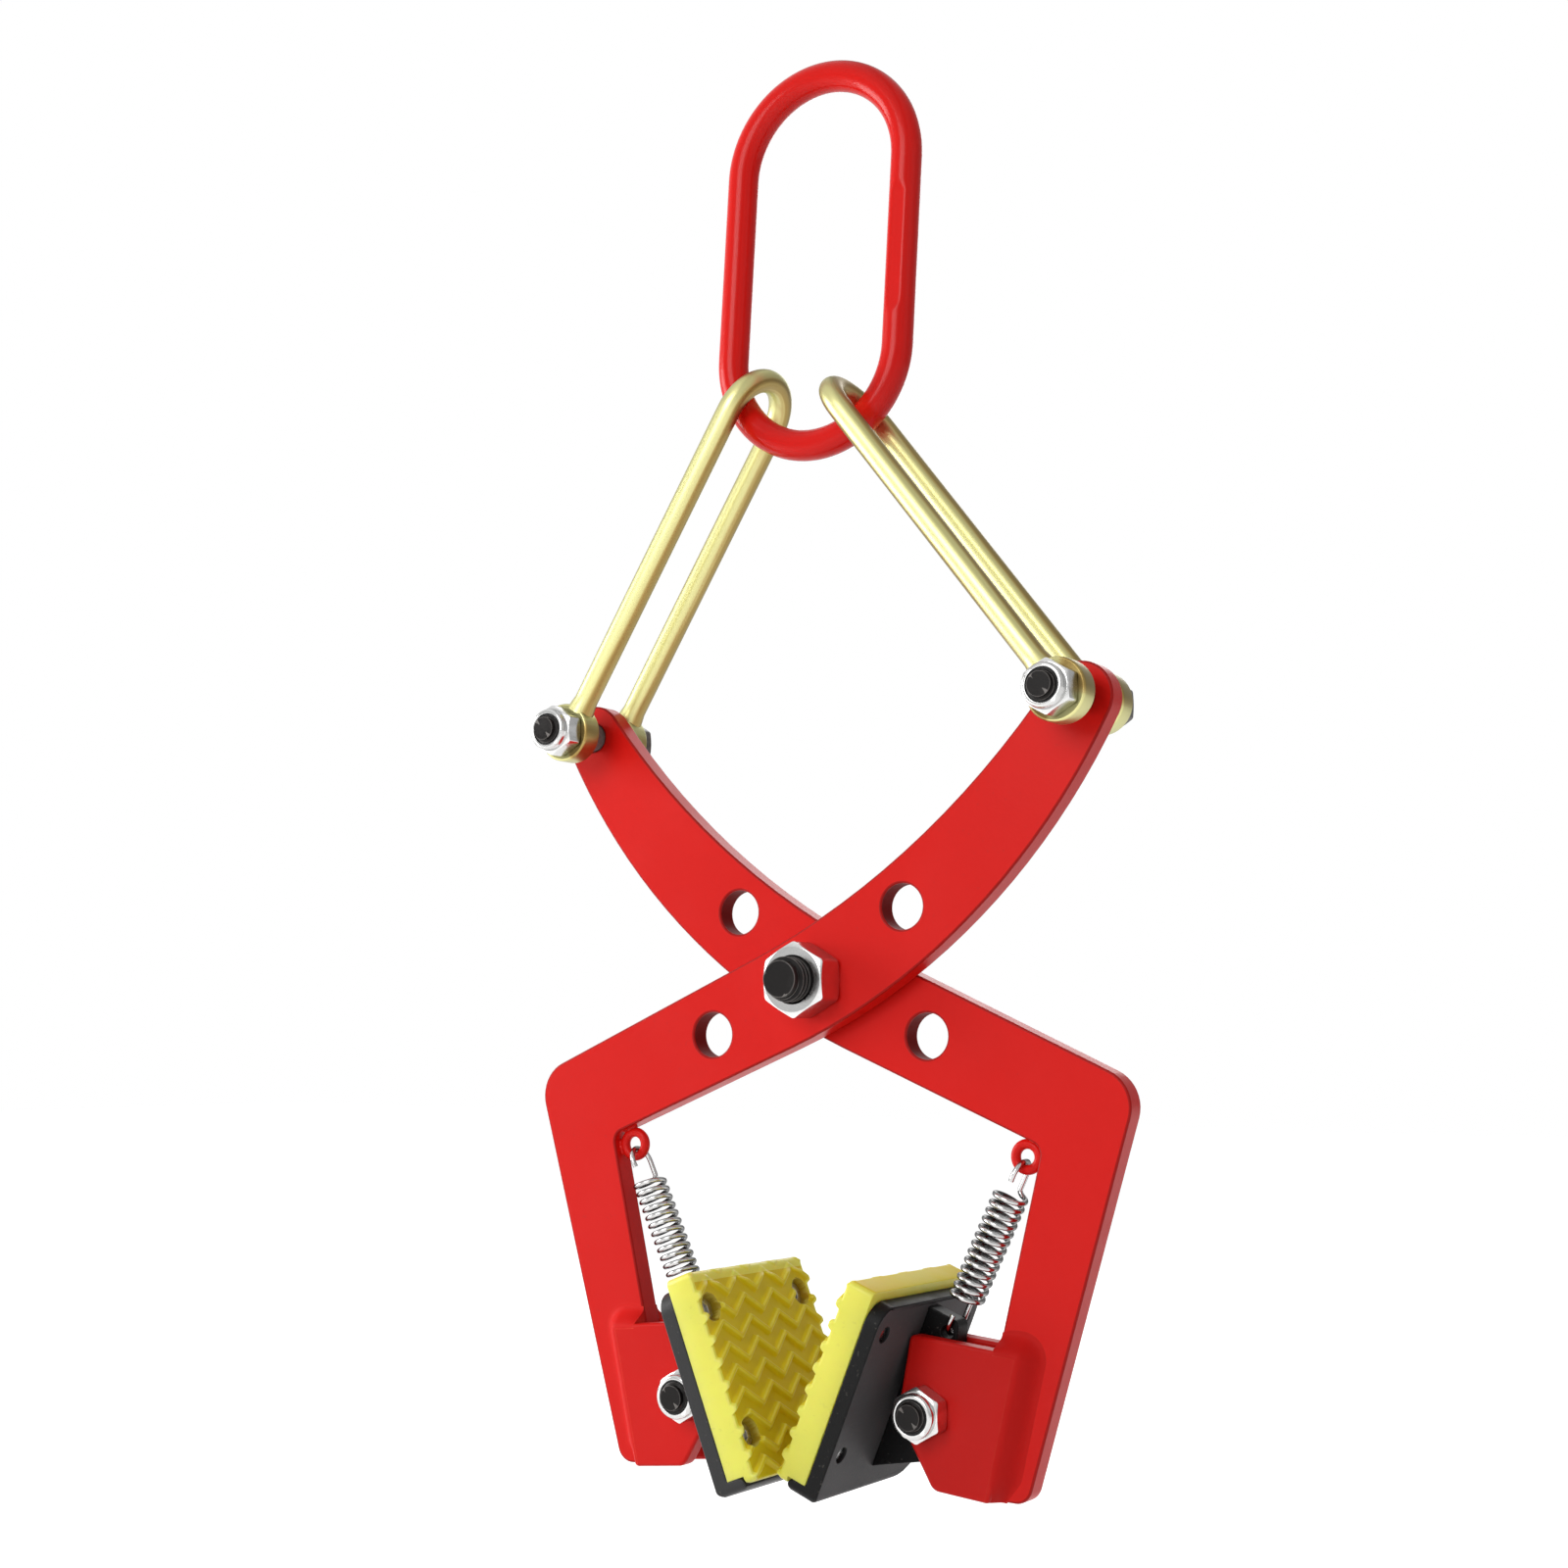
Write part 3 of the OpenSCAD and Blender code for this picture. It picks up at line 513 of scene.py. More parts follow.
def noise_node(tree, scale, detail, rough=0.5, vector=None):
    """A noise texture, over the object's own coordinates if no vector is given."""
    node = tree.nodes.new("ShaderNodeTexNoise")
    if vector is None:
        vector = tree.nodes.new("ShaderNodeTexCoord").outputs["Object"]
    for key, given in (("Scale", scale), ("Detail", detail), ("Roughness", rough), ("Vector", vector)):
        feed(tree, given, node.inputs[key])
    return node.outputs["Fac"]


def mix_colour(tree, fac, a, b):
    """A mix of two colours or sockets."""
    node = tree.nodes.new("ShaderNodeMix")
    node.data_type = "RGBA"
    for index, given in ((0, fac), (6, a), (7, b)):
        feed(tree, given, node.inputs[index])
    return node.outputs[2]


def set_stops(ramp, stops):
    """Gives a colour ramp its (position, colour) stops."""
    while len(ramp.elements) < len(stops):
        ramp.elements.new(0.5)
    for element, (position, colour) in zip(ramp.elements, stops):
        element.position, element.color = position, (*colour, 1.0)


def grey(level):
    """A grey with alpha."""
    return level, level, level, 1.0


def scaled(colour, k):
    """A colour made darker or lighter, with alpha."""
    return (*(min(1, c * k) for c in colour), 1.0)


def shared_group(name, inputs, outputs):
    """A shader group of numbers, with its inner sockets, or None for those if it was there already."""
    group = bpy.data.node_groups.get(name)
    if group:
        return group, None, None
    group = bpy.data.node_groups.new(name, "ShaderNodeTree")
    for label, default in inputs:
        socket = group.interface.new_socket(label, in_out="INPUT", socket_type="NodeSocketFloat")
        socket.default_value = default
    for label in outputs:
        group.interface.new_socket(label, in_out="OUTPUT", socket_type="NodeSocketFloat")
    return group, group.nodes.new("NodeGroupInput").outputs, group.nodes.new("NodeGroupOutput").inputs


def edge_wear_and_highlight_group():
    """Raised edges: a mask that is 1 on raised edges, broken up by noise, for rubbed wear and, in the red coat,
    also a painted highlight.
    """
    group, into, out = shared_group(
        "Edge wear and highlight", (("Scale", 60.0), ("Reach", 0.5), ("Breakup", 0.5)), ("Mask",))
    if into is not None:
        geometry = group.nodes.new("ShaderNodeNewGeometry")
        raised = stretch(group, geometry.outputs["Pointiness"], 0.5, 14.0, False)
        raised = math_node(group, "MULTIPLY", raised, into["Reach"])
        broken = math_node(group, "MULTIPLY", noise_node(group, into["Scale"], 6, 0.65), into["Breakup"])
        feed(group, math_node(group, "SUBTRACT", raised, broken, True), out["Mask"])
    return group


def coat_texture_group():
    """Powder coat: fine orange peel as a height, and a slow drift of tone."""
    group, into, out = shared_group(
        "Coat texture", (("Peel scale", 700.0), ("Drift scale", 9.0)), ("Peel", "Drift"))
    if into is not None:
        feed(group, noise_node(group, into["Peel scale"], 2), out["Peel"])
        feed(group, noise_node(group, into["Drift scale"], 3), out["Drift"])
    return group


def handling_group():
    """Dust and handling: soft blotches and fine specks as masks."""
    group, into, out = shared_group(
        "Handling", (("Blotch scale", 22.0), ("Speck scale", 420.0)), ("Blotch", "Specks"))
    if into is not None:
        blotch = noise_node(group, into["Blotch scale"], 5, 0.6)
        specks = noise_node(group, into["Speck scale"], 2, 0.4)
        feed(group, stretch(group, blotch, 0.48, 4.0), out["Blotch"])
        feed(group, stretch(group, specks, 0.68, 12.0), out["Specks"])
    return group


def place(tree, group, values):
    """Puts a group into a material, with its inputs' values in their order. Returns its outputs."""
    node = tree.nodes.new("ShaderNodeGroup")
    node.node_tree = group
    for socket, value in zip(node.inputs, values):
        socket.default_value = value
    return node.outputs


def start_material(name):
    """A new material with its tree and Principled BSDF, or without them if it is there already."""
    if name in bpy.data.materials:
        return bpy.data.materials[name], None, None
    material = bpy.data.materials.new(name)
    material.use_nodes = True
    tree = material.node_tree
    return material, tree, next(n for n in tree.nodes if n.type == "BSDF_PRINCIPLED")


def painted_grazing_shade(tree, colour, blend, start, gain, edge):
    """Painted shade: a colour that turns to the edge's colour where the surface is seen at a low angle."""
    weight = tree.nodes.new("ShaderNodeLayerWeight")
    weight.inputs["Blend"].default_value = blend
    return mix_colour(tree, stretch(tree, weight.outputs["Facing"], start, gain), colour, edge)


def finish(tree, shader, colour, rough, height, strength, distance, **plain):
    """Feeds the shader: its colour, its roughness, a bump from a height, and plain values."""
    node = tree.nodes.new("ShaderNodeBump")
    for key, given in (("Strength", strength), ("Distance", distance), ("Height", height)):
        feed(tree, given, node.inputs[key])
    for key, given in (("Base Color", colour), ("Roughness", rough), ("Normal", node.outputs["Normal"])):
        feed(tree, given, shader.inputs[key])
    for key, value in plain.items():
        shader.inputs[key.replace("_", " ")].default_value = value


# ---------------------------------------------------------------- finishes

# How deep the bumps of paint and of metal are, in metres
PAINT_DEPTH, METAL_DEPTH = 0.0004, 0.0002


def painted(name, *, tones, grain, wear, worn, dust, specks, rough, peel, **plain):
    """Paint or cast plastic: two tones that drift, rubbed edges, faint specks and orange peel.

    grain, wear and dust are the inputs of the shared groups, worn is the colour of rubbed edges,
    which in the red coat is partly a painted highlight, specks a strength and a colour, rough the
    lowest and highest roughness, and peel the bump.
    """
    material, tree, shader = start_material(name)
    if tree is None:
        return material
    coat = place(tree, coat_texture_group(), grain)
    marks = place(tree, handling_group(), dust)
    colour = mix_colour(tree, coat["Drift"], *tones)
    colour = mix_colour(tree, place(tree, edge_wear_and_highlight_group(), wear)["Mask"], colour, worn)
    faint = math_node(tree, "MULTIPLY", marks["Specks"], specks[0])
    colour = mix_colour(tree, faint, colour, specks[1])
    rough = map_range(tree, marks["Blotch"], *rough)
    finish(tree, shader, colour, rough, coat["Peel"], peel, PAINT_DEPTH, **plain)
    return material


def red_coat(name="Red powder coat", gloss=0.34, tone=1.0, reach=0.8, peel=0.12):
    """Red powder coat: fine orange peel, slight drift of tone, rubbed edges and a little dust.

    The pink on raised edges is partly rubbed coat and partly a painted highlight. A tone under 1 makes a
    darker copy of the coat, painted shade for bores, edges and the right jaw, and under 0.5 it has
    little gloss. A reach of 0 is for broad faces, which no rubbing reaches.
    """
    red = bpy.context.scene.clamp_colours.coat
    # Raised edges turn pink: partly rubbed wear, partly a painted highlight along the edges.
    pink_wear_and_highlight = (min(1, red[0] * 1.1 * tone), red[1] * 8 * tone**3, red[2] * 8 * tone**3, 1.0)
    return painted(
        name, tones=(scaled(red, 0.92 * tone), scaled(red, 1.07 * tone)), grain=(900.0, 7.0),
        wear=(180.0, reach, 1.0), worn=pink_wear_and_highlight, dust=(26.0, 700.0), specks=(0.15, (0.4, 0.03, 0.025, 1.0)),
        rough=(gloss, gloss + 0.08), peel=peel, Specular_IOR_Level=0.2 if tone > 0.5 else 0.06)


def black_paint(name="Black paint", depth=1.0, sheen=0.35):
    """Satin black paint with a fine grain. depth is its tone, sheen its gloss."""
    tone = tuple(depth * c for c in bpy.context.scene.clamp_colours.holder)
    return painted(
        name, tones=(scaled(tone, 0.8), scaled(tone, 1.5)), grain=(1100.0, 14.0),
        wear=(220.0, 0.8, 1.1), worn=grey(0.09), dust=(30.0, 600.0), specks=(0.3, (0.16, 0.15, 0.13, 1.0)),
        rough=(0.42, 0.58), peel=0.25, Specular_IOR_Level=sheen)


def polyurethane(name="Yellow polyurethane", tint=(1.0, 1.0, 1.0), sheen=0.5):
    """Cast yellow polyurethane: slightly see-through at thin places, with mould marks."""
    tone = tuple(c * t for c, t in zip(bpy.context.scene.clamp_colours.pad, tint))
    return painted(
        name, tones=(scaled(tone, 0.86), scaled(tone, 1.06)), grain=(500.0, 24.0),
        wear=(120.0, 0.8, 0.35), worn=(0.9, 0.84, 0.2, 1.0), dust=(34.0, 380.0),
        specks=(0.12, (0.4, 0.33, 0.06, 1.0)), rough=(0.36, 0.5), peel=0.12, Specular_IOR_Level=sheen,
        Subsurface_Weight=0.45, Subsurface_Radius=(1.0, 0.75, 0.12), Subsurface_Scale=0.008)


def along_bar(tree, across, along):
    """Coordinates round and along a bar, from its UV map, with no seam where the map closes."""
    split = tree.nodes.new("ShaderNodeSeparateXYZ")
    tree.links.new(tree.nodes.new("ShaderNodeTexCoord").outputs["UV"], split.inputs[0])
    angle = math_node(tree, "MULTIPLY", split.outputs[0], 2 * math.pi)
    x, y = math_node(tree, "COSINE", angle), math_node(tree, "SINE", angle)
    join = tree.nodes.new("ShaderNodeCombineXYZ")
    for socket, value, k in zip(join.inputs, (x, y, split.outputs[1]), (across, across, along)):
        tree.links.new(math_node(tree, "MULTIPLY", value, k), socket)
    return x, join.outputs[0]


def yellow_zinc(name="Yellow zinc", depth=1.0):
    """Yellow passivated zinc with fine drawn streaks; its pale, golden and olive bands along the wire are a
    painted reflection, placed by the angle round the wire, with a lighter painted highlight between them.
    """
    material, tree, shader = start_material(name)
    if tree is None:
        return material
    colours = bpy.context.scene.clamp_colours
    pale = tuple(depth * c for c in colours.zinc_pale)
    gold = tuple(depth * c for c in colours.zinc_gold)
    olive = tuple(0.6 * p + 0.1 * g for p, g in zip(pale, (0.4 * depth, 0.7 * depth, 0.4 * depth)))
    brown = tuple(0.6 * g for g in gold)
    light = tuple(min(1, 1.1 * c) for c in pale)
    side, streaks = along_bar(tree, 2.2, 4.0)
    drift = stretch(tree, noise_node(tree, 9.0, 2), 0.5, 0.22, False)
    streak = stretch(tree, noise_node(tree, 1.6, 3, vector=streaks), 0.5, 0.14, False)
    # The ramp over the angle round the wire paints reflections: a lighter painted highlight at its middle, and
    # golden, brown and olive painted reflection towards both ends.
    place_on = math_node(tree, "ADD", math_node(tree, "MULTIPLY", side, 0.42), 0.5)
    place_on = math_node(tree, "ADD", math_node(tree, "ADD", place_on, drift), streak, True)
    ramp = tree.nodes.new("ShaderNodeValToRGB")
    ramp.color_ramp.interpolation = "B_SPLINE"
    half = ((0.0, olive), (0.06, gold), (0.12, brown), (0.17, gold), (0.22, pale), (0.38, pale))
    set_stops(ramp.color_ramp, (*half, (0.5, light), *((1 - at, tone) for at, tone in reversed(half))))
    tree.links.new(place_on, ramp.inputs[0])
    # Painted shade: the colour darkens to a dark olive where the wire is seen at a low angle.
    colour = painted_grazing_shade(tree, ramp.outputs[0], 0.3, 0.0, 0.8, scaled(olive, 0.45))
    rough = math_node(tree, "ADD", math_node(tree, "MULTIPLY", streak, 0.5), 0.38)
    fine = noise_node(tree, 2.0, 2, vector=along_bar(tree, 4.0, 12.0)[1])
    finish(tree, shader, colour, rough, fine, 0.008, METAL_DEPTH, Metallic=1.0)
    return material


def metal(name, *, tones, dust, rough, bump, wear=None, worn=None, rim=None, grain=None, **plain):
    """Plated or bare metal: blotches of two tones, and rubbed edges and a dark rim where given.

    dust and wear are the inputs of the shared groups, rim those of painted_grazing_shade, a painted
    shade at low angles. The bump is a grain of the given scale, or without one the streaks that
    drawing leaves along a bar.
    """
    material, tree, shader = start_material(name)
    if tree is None:
        return material
    blotch = place(tree, handling_group(), dust)["Blotch"]
    colour = mix_colour(tree, blotch, *tones)
    if wear:
        colour = mix_colour(tree, place(tree, edge_wear_and_highlight_group(), wear)["Mask"], colour, worn)
    # Painted shade: the colour darkens where the surface is seen at a low angle.
    if rim:
        colour = painted_grazing_shade(tree, colour, *rim)
    if grain:
        height = noise_node(tree, grain, 2)
    else:
        height = noise_node(tree, 2.0, 2, vector=along_bar(tree, 3.0, 60.0)[1])
    finish(tree, shader, colour, map_range(tree, blotch, *rough), height, bump, METAL_DEPTH, **plain)
    return material


def bright_zinc(name="Bright zinc", low=0.16, high=0.3):
    """Bright zinc plating with faint tool marks."""
    tone = bpy.context.scene.clamp_colours.bright
    # The rim darkens the zinc to a dark grey at low angles: a painted shade.
    return metal(
        name, tones=(scaled(tone, 1.0), scaled(tone, 0.82)), dust=(70.0, 900.0), rough=(low, high),
        bump=0.1, wear=(300.0, 0.7, 0.6), worn=grey(0.95), rim=(0.5, 0.5, 1.6, grey(0.12)),
        grain=800.0, Metallic=1.0)


def black_oxide():
    """Black oxide on bolts: oily sheen, with steel showing on rubbed thread crests."""
    tone = bpy.context.scene.clamp_colours.oxide
    return metal(
        "Black oxide", tones=(scaled(tone, 1.0), scaled(tone, 1.9)), dust=(80.0, 700.0), rough=(0.34, 0.5),
        bump=0.15, wear=(400.0, 1.4, 0.9), worn=(0.2, 0.185, 0.175, 1.0), grain=1500.0,
        Specular_IOR_Level=0.18)


def spring_steel(name="Spring wire", depth=1.0):
    """Bright drawn wire, darkened at low angles as a painted shade. depth under 1 is a darker copy, painted
    shade on the side of the wire inside the coil.
    """
    tone = tuple(depth * c for c in bpy.context.scene.clamp_colours.wire)
    return metal(
        name, tones=(scaled(tone, 1.0), scaled(tone, 0.7)), dust=(120.0, 900.0), rough=(0.14, 0.26),
        bump=0.08, rim=(0.5, 0.3, 2.6, grey(0.03)), Metallic=1.0)


# ---------------------------------------------------------------- pieces


class CLAMP_OT_master_link(Operator):
    """The oblong master link: a round bar with a forged flat on its right limb"""

    bl_idname = "clamp.master_link"
    bl_label = "Master link"

    def execute(self, context):
        crown = Vector((0, 0, -LINK_W / 2))
        foot = crown - Vector((0, 0, LIMB_L))
        path = arc(crown, BEND_R, 180, 0, 56, Z_AXIS, X_AXIS)
        path += [Vector((BEND_R, 0, crown.z - LIMB_L * i / 60)) for i in range(1, 60)]
        path += arc(foot, BEND_R, 0, -180, 56, Z_AXIS, X_AXIS)
        path += [Vector((-BEND_R, 0, foot.z + LIMB_L * i / 30)) for i in range(1, 30)]
        middle, half, runout = crown.z - LIMB_L / 2, LINK_FLAT_L / 2, 5.0

        def flat(v):
            """Presses the front of the right limb to the forged flat, with eased ends."""
            off = abs(v.z - middle)
            if v.x < BEND_R - LINK_ROD or off > half:
                return v
            limit = -LINK_ROD / 2 + LINK_FLAT * smooth((half - off) / runout)
            return Vector((v.x, max(v.y, limit), v.z))

        bm = bmesh.new()
        sweep(bm, path, LINK_ROD / 2, 48, closed=True, binormal=Y_AXIS, shape=flat)
        piece("Master_link_bar", bm, along_link(), "master_link", ["master_link"], "link",
              red_coat("Red gloss coat", 0.2, peel=0.04), angle=50)
        return {"FINISHED"}


class CLAMP_OT_shackles(Operator):
    """The two bent-wire shackles with their welded bosses"""

    bl_idname = "clamp.shackles"
    bl_label = "Shackles"

    def execute(self, context):
        # The ends of the bosses take a darker copy of the zinc: painted shade.
        zinc, shade = yellow_zinc(), yellow_zinc("Yellow zinc on boss ends, painted shade", 0.42)
        sunk, swell, swell_l = 2.0, 0.9, 3.4
        start = BOSS_D / 2 - sunk
        path = [Vector((0, LEG_Y, start + (REACH - start) * i / 50)) for i in range(50)]
        path += arc(Vector((0, 0, REACH)), LEG_Y, 0, 180, 36, Z_AXIS, Y_AXIS)
        path += [Vector((0, -LEG_Y, REACH - (REACH - start) * i / 50)) for i in range(1, 51)]
        bore_edge, outer_edge = 0.4, 1.1
        ring = rounded([(BOLT_BORE, 0, bore_edge), (BOSS_D / 2, 0, outer_edge),
                        (BOSS_D / 2, BOSS_L, outer_edge), (BOLT_BORE, BOSS_L, bore_edge)])

        def flare(i):
            """The wire's radius, with the weld to the boss as a small swell at the foot of each leg."""
            over_boss = max(0.0, path[i].z - BOSS_D / 2)
            return WIRE / 2 + swell * max(0.0, 1 - over_boss / swell_l) ** 2

        for side, word, _, _ in ARMS:
            body = f"{word}_shackle"
            bm = bmesh.new()
            sweep(bm, path, flare, 36, binormal=X_AXIS, turn=-side)
            piece(f"Shackle_{word}", bm, along_shackle(side), body, [body], "shackle", zinc, angle=40)
            bm = bmesh.new()
            for y in (-LEG_Y, LEG_Y):
                turned(bm, ring, 72, bolt_axis(Matrix.Identity(4), y + BOSS_L / 2))
            for face in bm.faces:
                c = face.calc_center_median()
                face.normal_update()
                on_end = abs(face.normal.y) > 0.98 and math.hypot(c.x, c.z) > BOLT_D / 2 + bore_edge
                face.material_index = int(on_end)
            piece(f"Bosses_{word}", bm, along_shackle(side), body, [f"{word}_bosses"], "shackle",
                  zinc, shade, angle=30)
        return {"FINISHED"}


class CLAMP_OT_arms(Operator):
    """The two crossed arm plates"""

    bl_idname = "clamp.arms"
    bl_label = "Arms"

    def execute(self, context):
        edge = context.scene.clamp_sizes.plate_edge
        # Darker copies of the coat are painted shade: in the bores, and on the sloped faces of the plates'
        # rounded edges.
        coats = (red_coat(), red_coat("Red coat in bores, painted shade", 0.55, 0.3), red_coat("Red coat on edges, painted shade", 0.4, 0.6),
                 red_coat("Red coat on faces", 0.34, 1.0, 0.0))
        plain, bores_in_shade, edges_in_shade, on_faces = range(4)
        edge_level, face_level = 0.2, 0.97  # how level the soft edges and the broad faces are at least
        for side, _, _, node in ARMS:
            plate = soften(node, node.capitalize() + "_plate", node, "arm", edge, *coats)
            middles = [on_arm(side) @ Vector((x, 0, z)) for x, z in SPARE_HOLES]
            for polygon in plate.data.polygons:
                level = abs(polygon.normal.y)
                if level > edge_level:
                    polygon.material_index = edges_in_shade if level < face_level else on_faces
                    continue
                c = polygon.center
                off = min(math.hypot(c.x - m.x, c.z - m.z) for m in middles)
                polygon.material_index = bores_in_shade if off < (SPARE_R + 0.2) * MM else plain
        return {"FINISHED"}


def weld_line():
    """Points along a cheek's welded edge, each with its outward direction and its share of the reach."""
    foot, corner, end = WELD_LINE
    out_low, out_top = WELD_OUT
    line = [(foot.lerp(corner, t / 40), out_low, min(1, 0.45 + t / 12)) for t in range(40)]
    line = [point for point in line if (corner - point[0]).length > WELD_ROUND + 0.2]
    pin = corner - WELD_ROUND * (out_low + out_top) / (1 + out_low.dot(out_top))
    for t in range(9):
        n = out_low.lerp(out_top, t / 8).normalized()
        line.append((pin + WELD_ROUND * n, n, 1.0))
    for t in range(1, 9):
        line.append(((pin + WELD_ROUND * out_top).lerp(end, t / 8), out_top, 1 - 0.25 * (t / 8) ** 3))
    return line


class CLAMP_OT_cheeks(Operator):
    """The cheek plates of the jaws and the painted welds that join them to the legs"""

    bl_idname = "clamp.cheeks"
    bl_label = "Cheeks"

    def execute(self, context):
        sizes = context.scene.clamp_sizes
        line = weld_line()
        # How far the weld runs in under the cheek and down into the plate, and stands over the cheek
        under, below, proud = 1.9, 0.3, 0.015
        # Tones of each jaw's cheeks and welds: the right jaw's darker tones are painted shade, and the left
        # jaw's weld, lighter than its cheek, is a painted highlight.
        tones = ((0.97, 1.0), (0.86, 0.81))
        for (side, _, word, body), (cheek_painted_shade, weld_painted_light) in zip(ARMS, tones):
            coat = red_coat(f"Red coat on {word} cheeks, painted shade", 0.36, cheek_painted_shade)
            soft = red_coat(f"Red coat on {word} welds, painted light", 0.6, weld_painted_light)
            for face, where in ((-1, "front"), (1, "rear")):
                node = f"{word}_cheek_{where}"
                soften(node, f"Cheek_{word}_{where}", body, "cheek", sizes.plate_edge * 1.5, coat)
                bm = bmesh.new()
                rows = []
                for p, n, k in line:
                    reach = sizes.weld_reach / MM * k
                    ring = []
                    for a in range(17):
                        t = a / 16
                        rise = t * t * t * (t * (6 * t - 15) + 10)
                        ring.append((reach - (reach + under) * t, (CHEEK_T + proud) * rise))
                    ring += [(-under, -below), (reach + 0.2, -below)]
                    rows.append([
                        bm.verts.new((p.x + n.x * q, face * (ARM_T / 2 + h), p.y + n.y * q)) for q, h in ring])
                grid_faces(bm, rows, False, True)
                bm.faces.new(rows[0])
                bm.faces.new(rows[-1])
                piece(f"Weld_{word}_{where}", bm, on_arm(side), body, [], "cheek", soft, angle=50)
        return {"FINISHED"}


def spring_eye_place():
    """The eye's middle in the arm's inner corner, and the directions of the corner's edges."""
    to_bend, to_foot = TO_BEND.normalized(), TO_FOOT.normalized()
    half = to_bend.angle(to_foot) / 2
    return CROOK + (to_bend + to_foot).normalized() * EYE_D / 2 / math.sin(half), to_bend, to_foot


class CLAMP_OT_spring_eyes(Operator):
    """The rings that hold the springs, welded into the arms' inner corners"""

    bl_idname = "clamp.spring_eyes"
    bl_label = "Spring eyes"

    def execute(self, context):
        eye, to_bend, to_foot = spring_eye_place()
        loop = arc(Vector((eye.x, 0, eye.y)), EYE_D / 2 - EYE_BAR / 2, 0, 352, 44, Z_AXIS, X_AXIS)
        lump_r, lump_step, lump_sink = 2.1, 1.9, 0.2
        for side, _, word, body in ARMS:
            bm = bmesh.new()
            sweep(bm, loop, EYE_BAR / 2, 20, closed=True, binormal=Y_AXIS)
            for direction in (to_bend, to_foot):
                touch = CROOK + direction * (eye - CROOK).dot(direction)
                inward = (eye - touch).normalized()
                for k in (-1, 0, 1):
                    at = touch + direction * lump_step * k - inward * lump_sink
                    lump = bmesh.ops.create_icosphere(bm, subdivisions=3, radius=lump_r - 0.45 * abs(k))
                    bmesh.ops.translate(bm, verts=lump["verts"], vec=(at.x, 0.12 * k, at.y))
            piece(f"Spring_eye_{word}", bm, on_arm(side), body, [f"{word}_spring_eye"], "arm",
                  red_coat(), angle=60)
        return {"FINISHED"}


def small_fasteners(kind):
    """The four smaller bolts or nuts: piece, node, body, frame, and how far out on Y each one seats."""
    for side, upper, jaw, arm in ARMS:
        shackle = f"{upper}_shackle"
        yield f"Upper_{kind}_{upper}", f"{upper}_upper_{kind}", shackle, on_upper_bolt(side), BOSS_OUT
        yield f"Jaw_{kind}_{jaw}", f"{jaw}_jaw_{kind}", arm, at_jaw(side), JAW_OUT


class CLAMP_OT_bolts(Operator):
    """The black bolts, with the threads that stand out of the nuts"""

    bl_idname = "clamp.bolts"
    bl_label = "Bolts"

    def execute(self, context):
        sizes = context.scene.clamp_sizes
        black = black_oxide()

        def bolt(name, node, body, base, y, d, af, head_h, grip, end_l, pitch):
            """A hexagon bolt: its head at the rear and its threaded end at the front."""
            bm = bmesh.new()
            hex_body(bm, af, head_h, 0, af * 0.48, af * 0.5, Matrix.Translation((0, 0, -head_h)))
            foot, start, lap, shoulder = -1.0, grip - 3.0, 0.5, 0.2
            shank = rounded([(0.0, foot, 0), (d / 2, foot, 0), (d / 2, start, shoulder), (0.0, start, 0)], 2)
            turned(bm, shank, 64)
            thread(bm, d / 2, start - lap, grip + end_l - BOLT_TIP, pitch / MM, 0.19 * d)
            piece(name, bm, bolt_axis(base, y), body, [node], "black_steel", black, angle=38)

        rear = PLANE_Y + ARM_T / 2 + HEAD_GAP
        grip = rear + PLANE_Y + ARM_T / 2 + PIVOT_NUT_H
        bolt("Pivot_bolt_steel", "pivot_bolt", "front_arm", at_pivot(), rear, PIVOT_D, PIVOT_AF,
             PIVOT_HEAD_H, grip, PIVOT_END, sizes.pivot_pitch)
        for name, node, body, base, out in small_fasteners("bolt"):
            bolt(name, node, body, base, out, BOLT_D, BOLT_AF, BOLT_HEAD_H, 2 * out + BOLT_D, BOLT_END,
                 sizes.bolt_pitch)
        return {"FINISHED"}


class CLAMP_OT_nuts(Operator):
    """The plain nut of the pivot, and the four lock nuts with a round collar over their ring"""

    bl_idname = "clamp.nuts"
    bl_label = "Nuts"

    def execute(self, context):
        zinc, ring_black = bright_zinc(), black_paint("Black locking ring", 0.6, 0.3)
        bm = bmesh.new()
        hex_body(bm, PIVOT_AF, PIVOT_NUT_H, PIVOT_BORE, PIVOT_AF * 0.49, PIVOT_AF * 0.49)
        piece("Pivot_nut_steel", bm, bolt_axis(at_pivot(), -PLANE_Y - ARM_T / 2), "front_arm",
              ["pivot_nut"], "zinc", zinc, angle=30)
        outer, lip, sunk, foot = 0.46 * BOLT_AF, BOLT_BORE + 0.65, BOLT_D - 0.5, NUT_HEX_H - 1.0
        collar = rounded([(BOLT_BORE, foot, 0), (outer, foot, 0), (outer, BOLT_D, 1.4),
                          (lip, BOLT_D, 0.3), (lip, sunk, 0), (BOLT_BORE, sunk, 0)])

        def in_ring(v):
            """Whether a point belongs to the locking ring, sunk inside the collar's lip."""
            return math.hypot(v.co.x, v.co.y) < lip + 0.01 and v.co.z > sunk - 0.01

        for name, node, body, base, out in small_fasteners("nut"):
            bm = bmesh.new()
            hex_body(bm, BOLT_AF, NUT_HEX_H, BOLT_BORE, BOLT_AF * 0.49, BOLT_AF * 0.485)
            turned(bm, collar, 72)
            for face in bm.faces:
                face.material_index = int(all(in_ring(v) for v in face.verts))
            piece(name, bm, bolt_axis(base, -out), body, [node], "zinc", zinc, ring_black, angle=30)
        return {"FINISHED"}


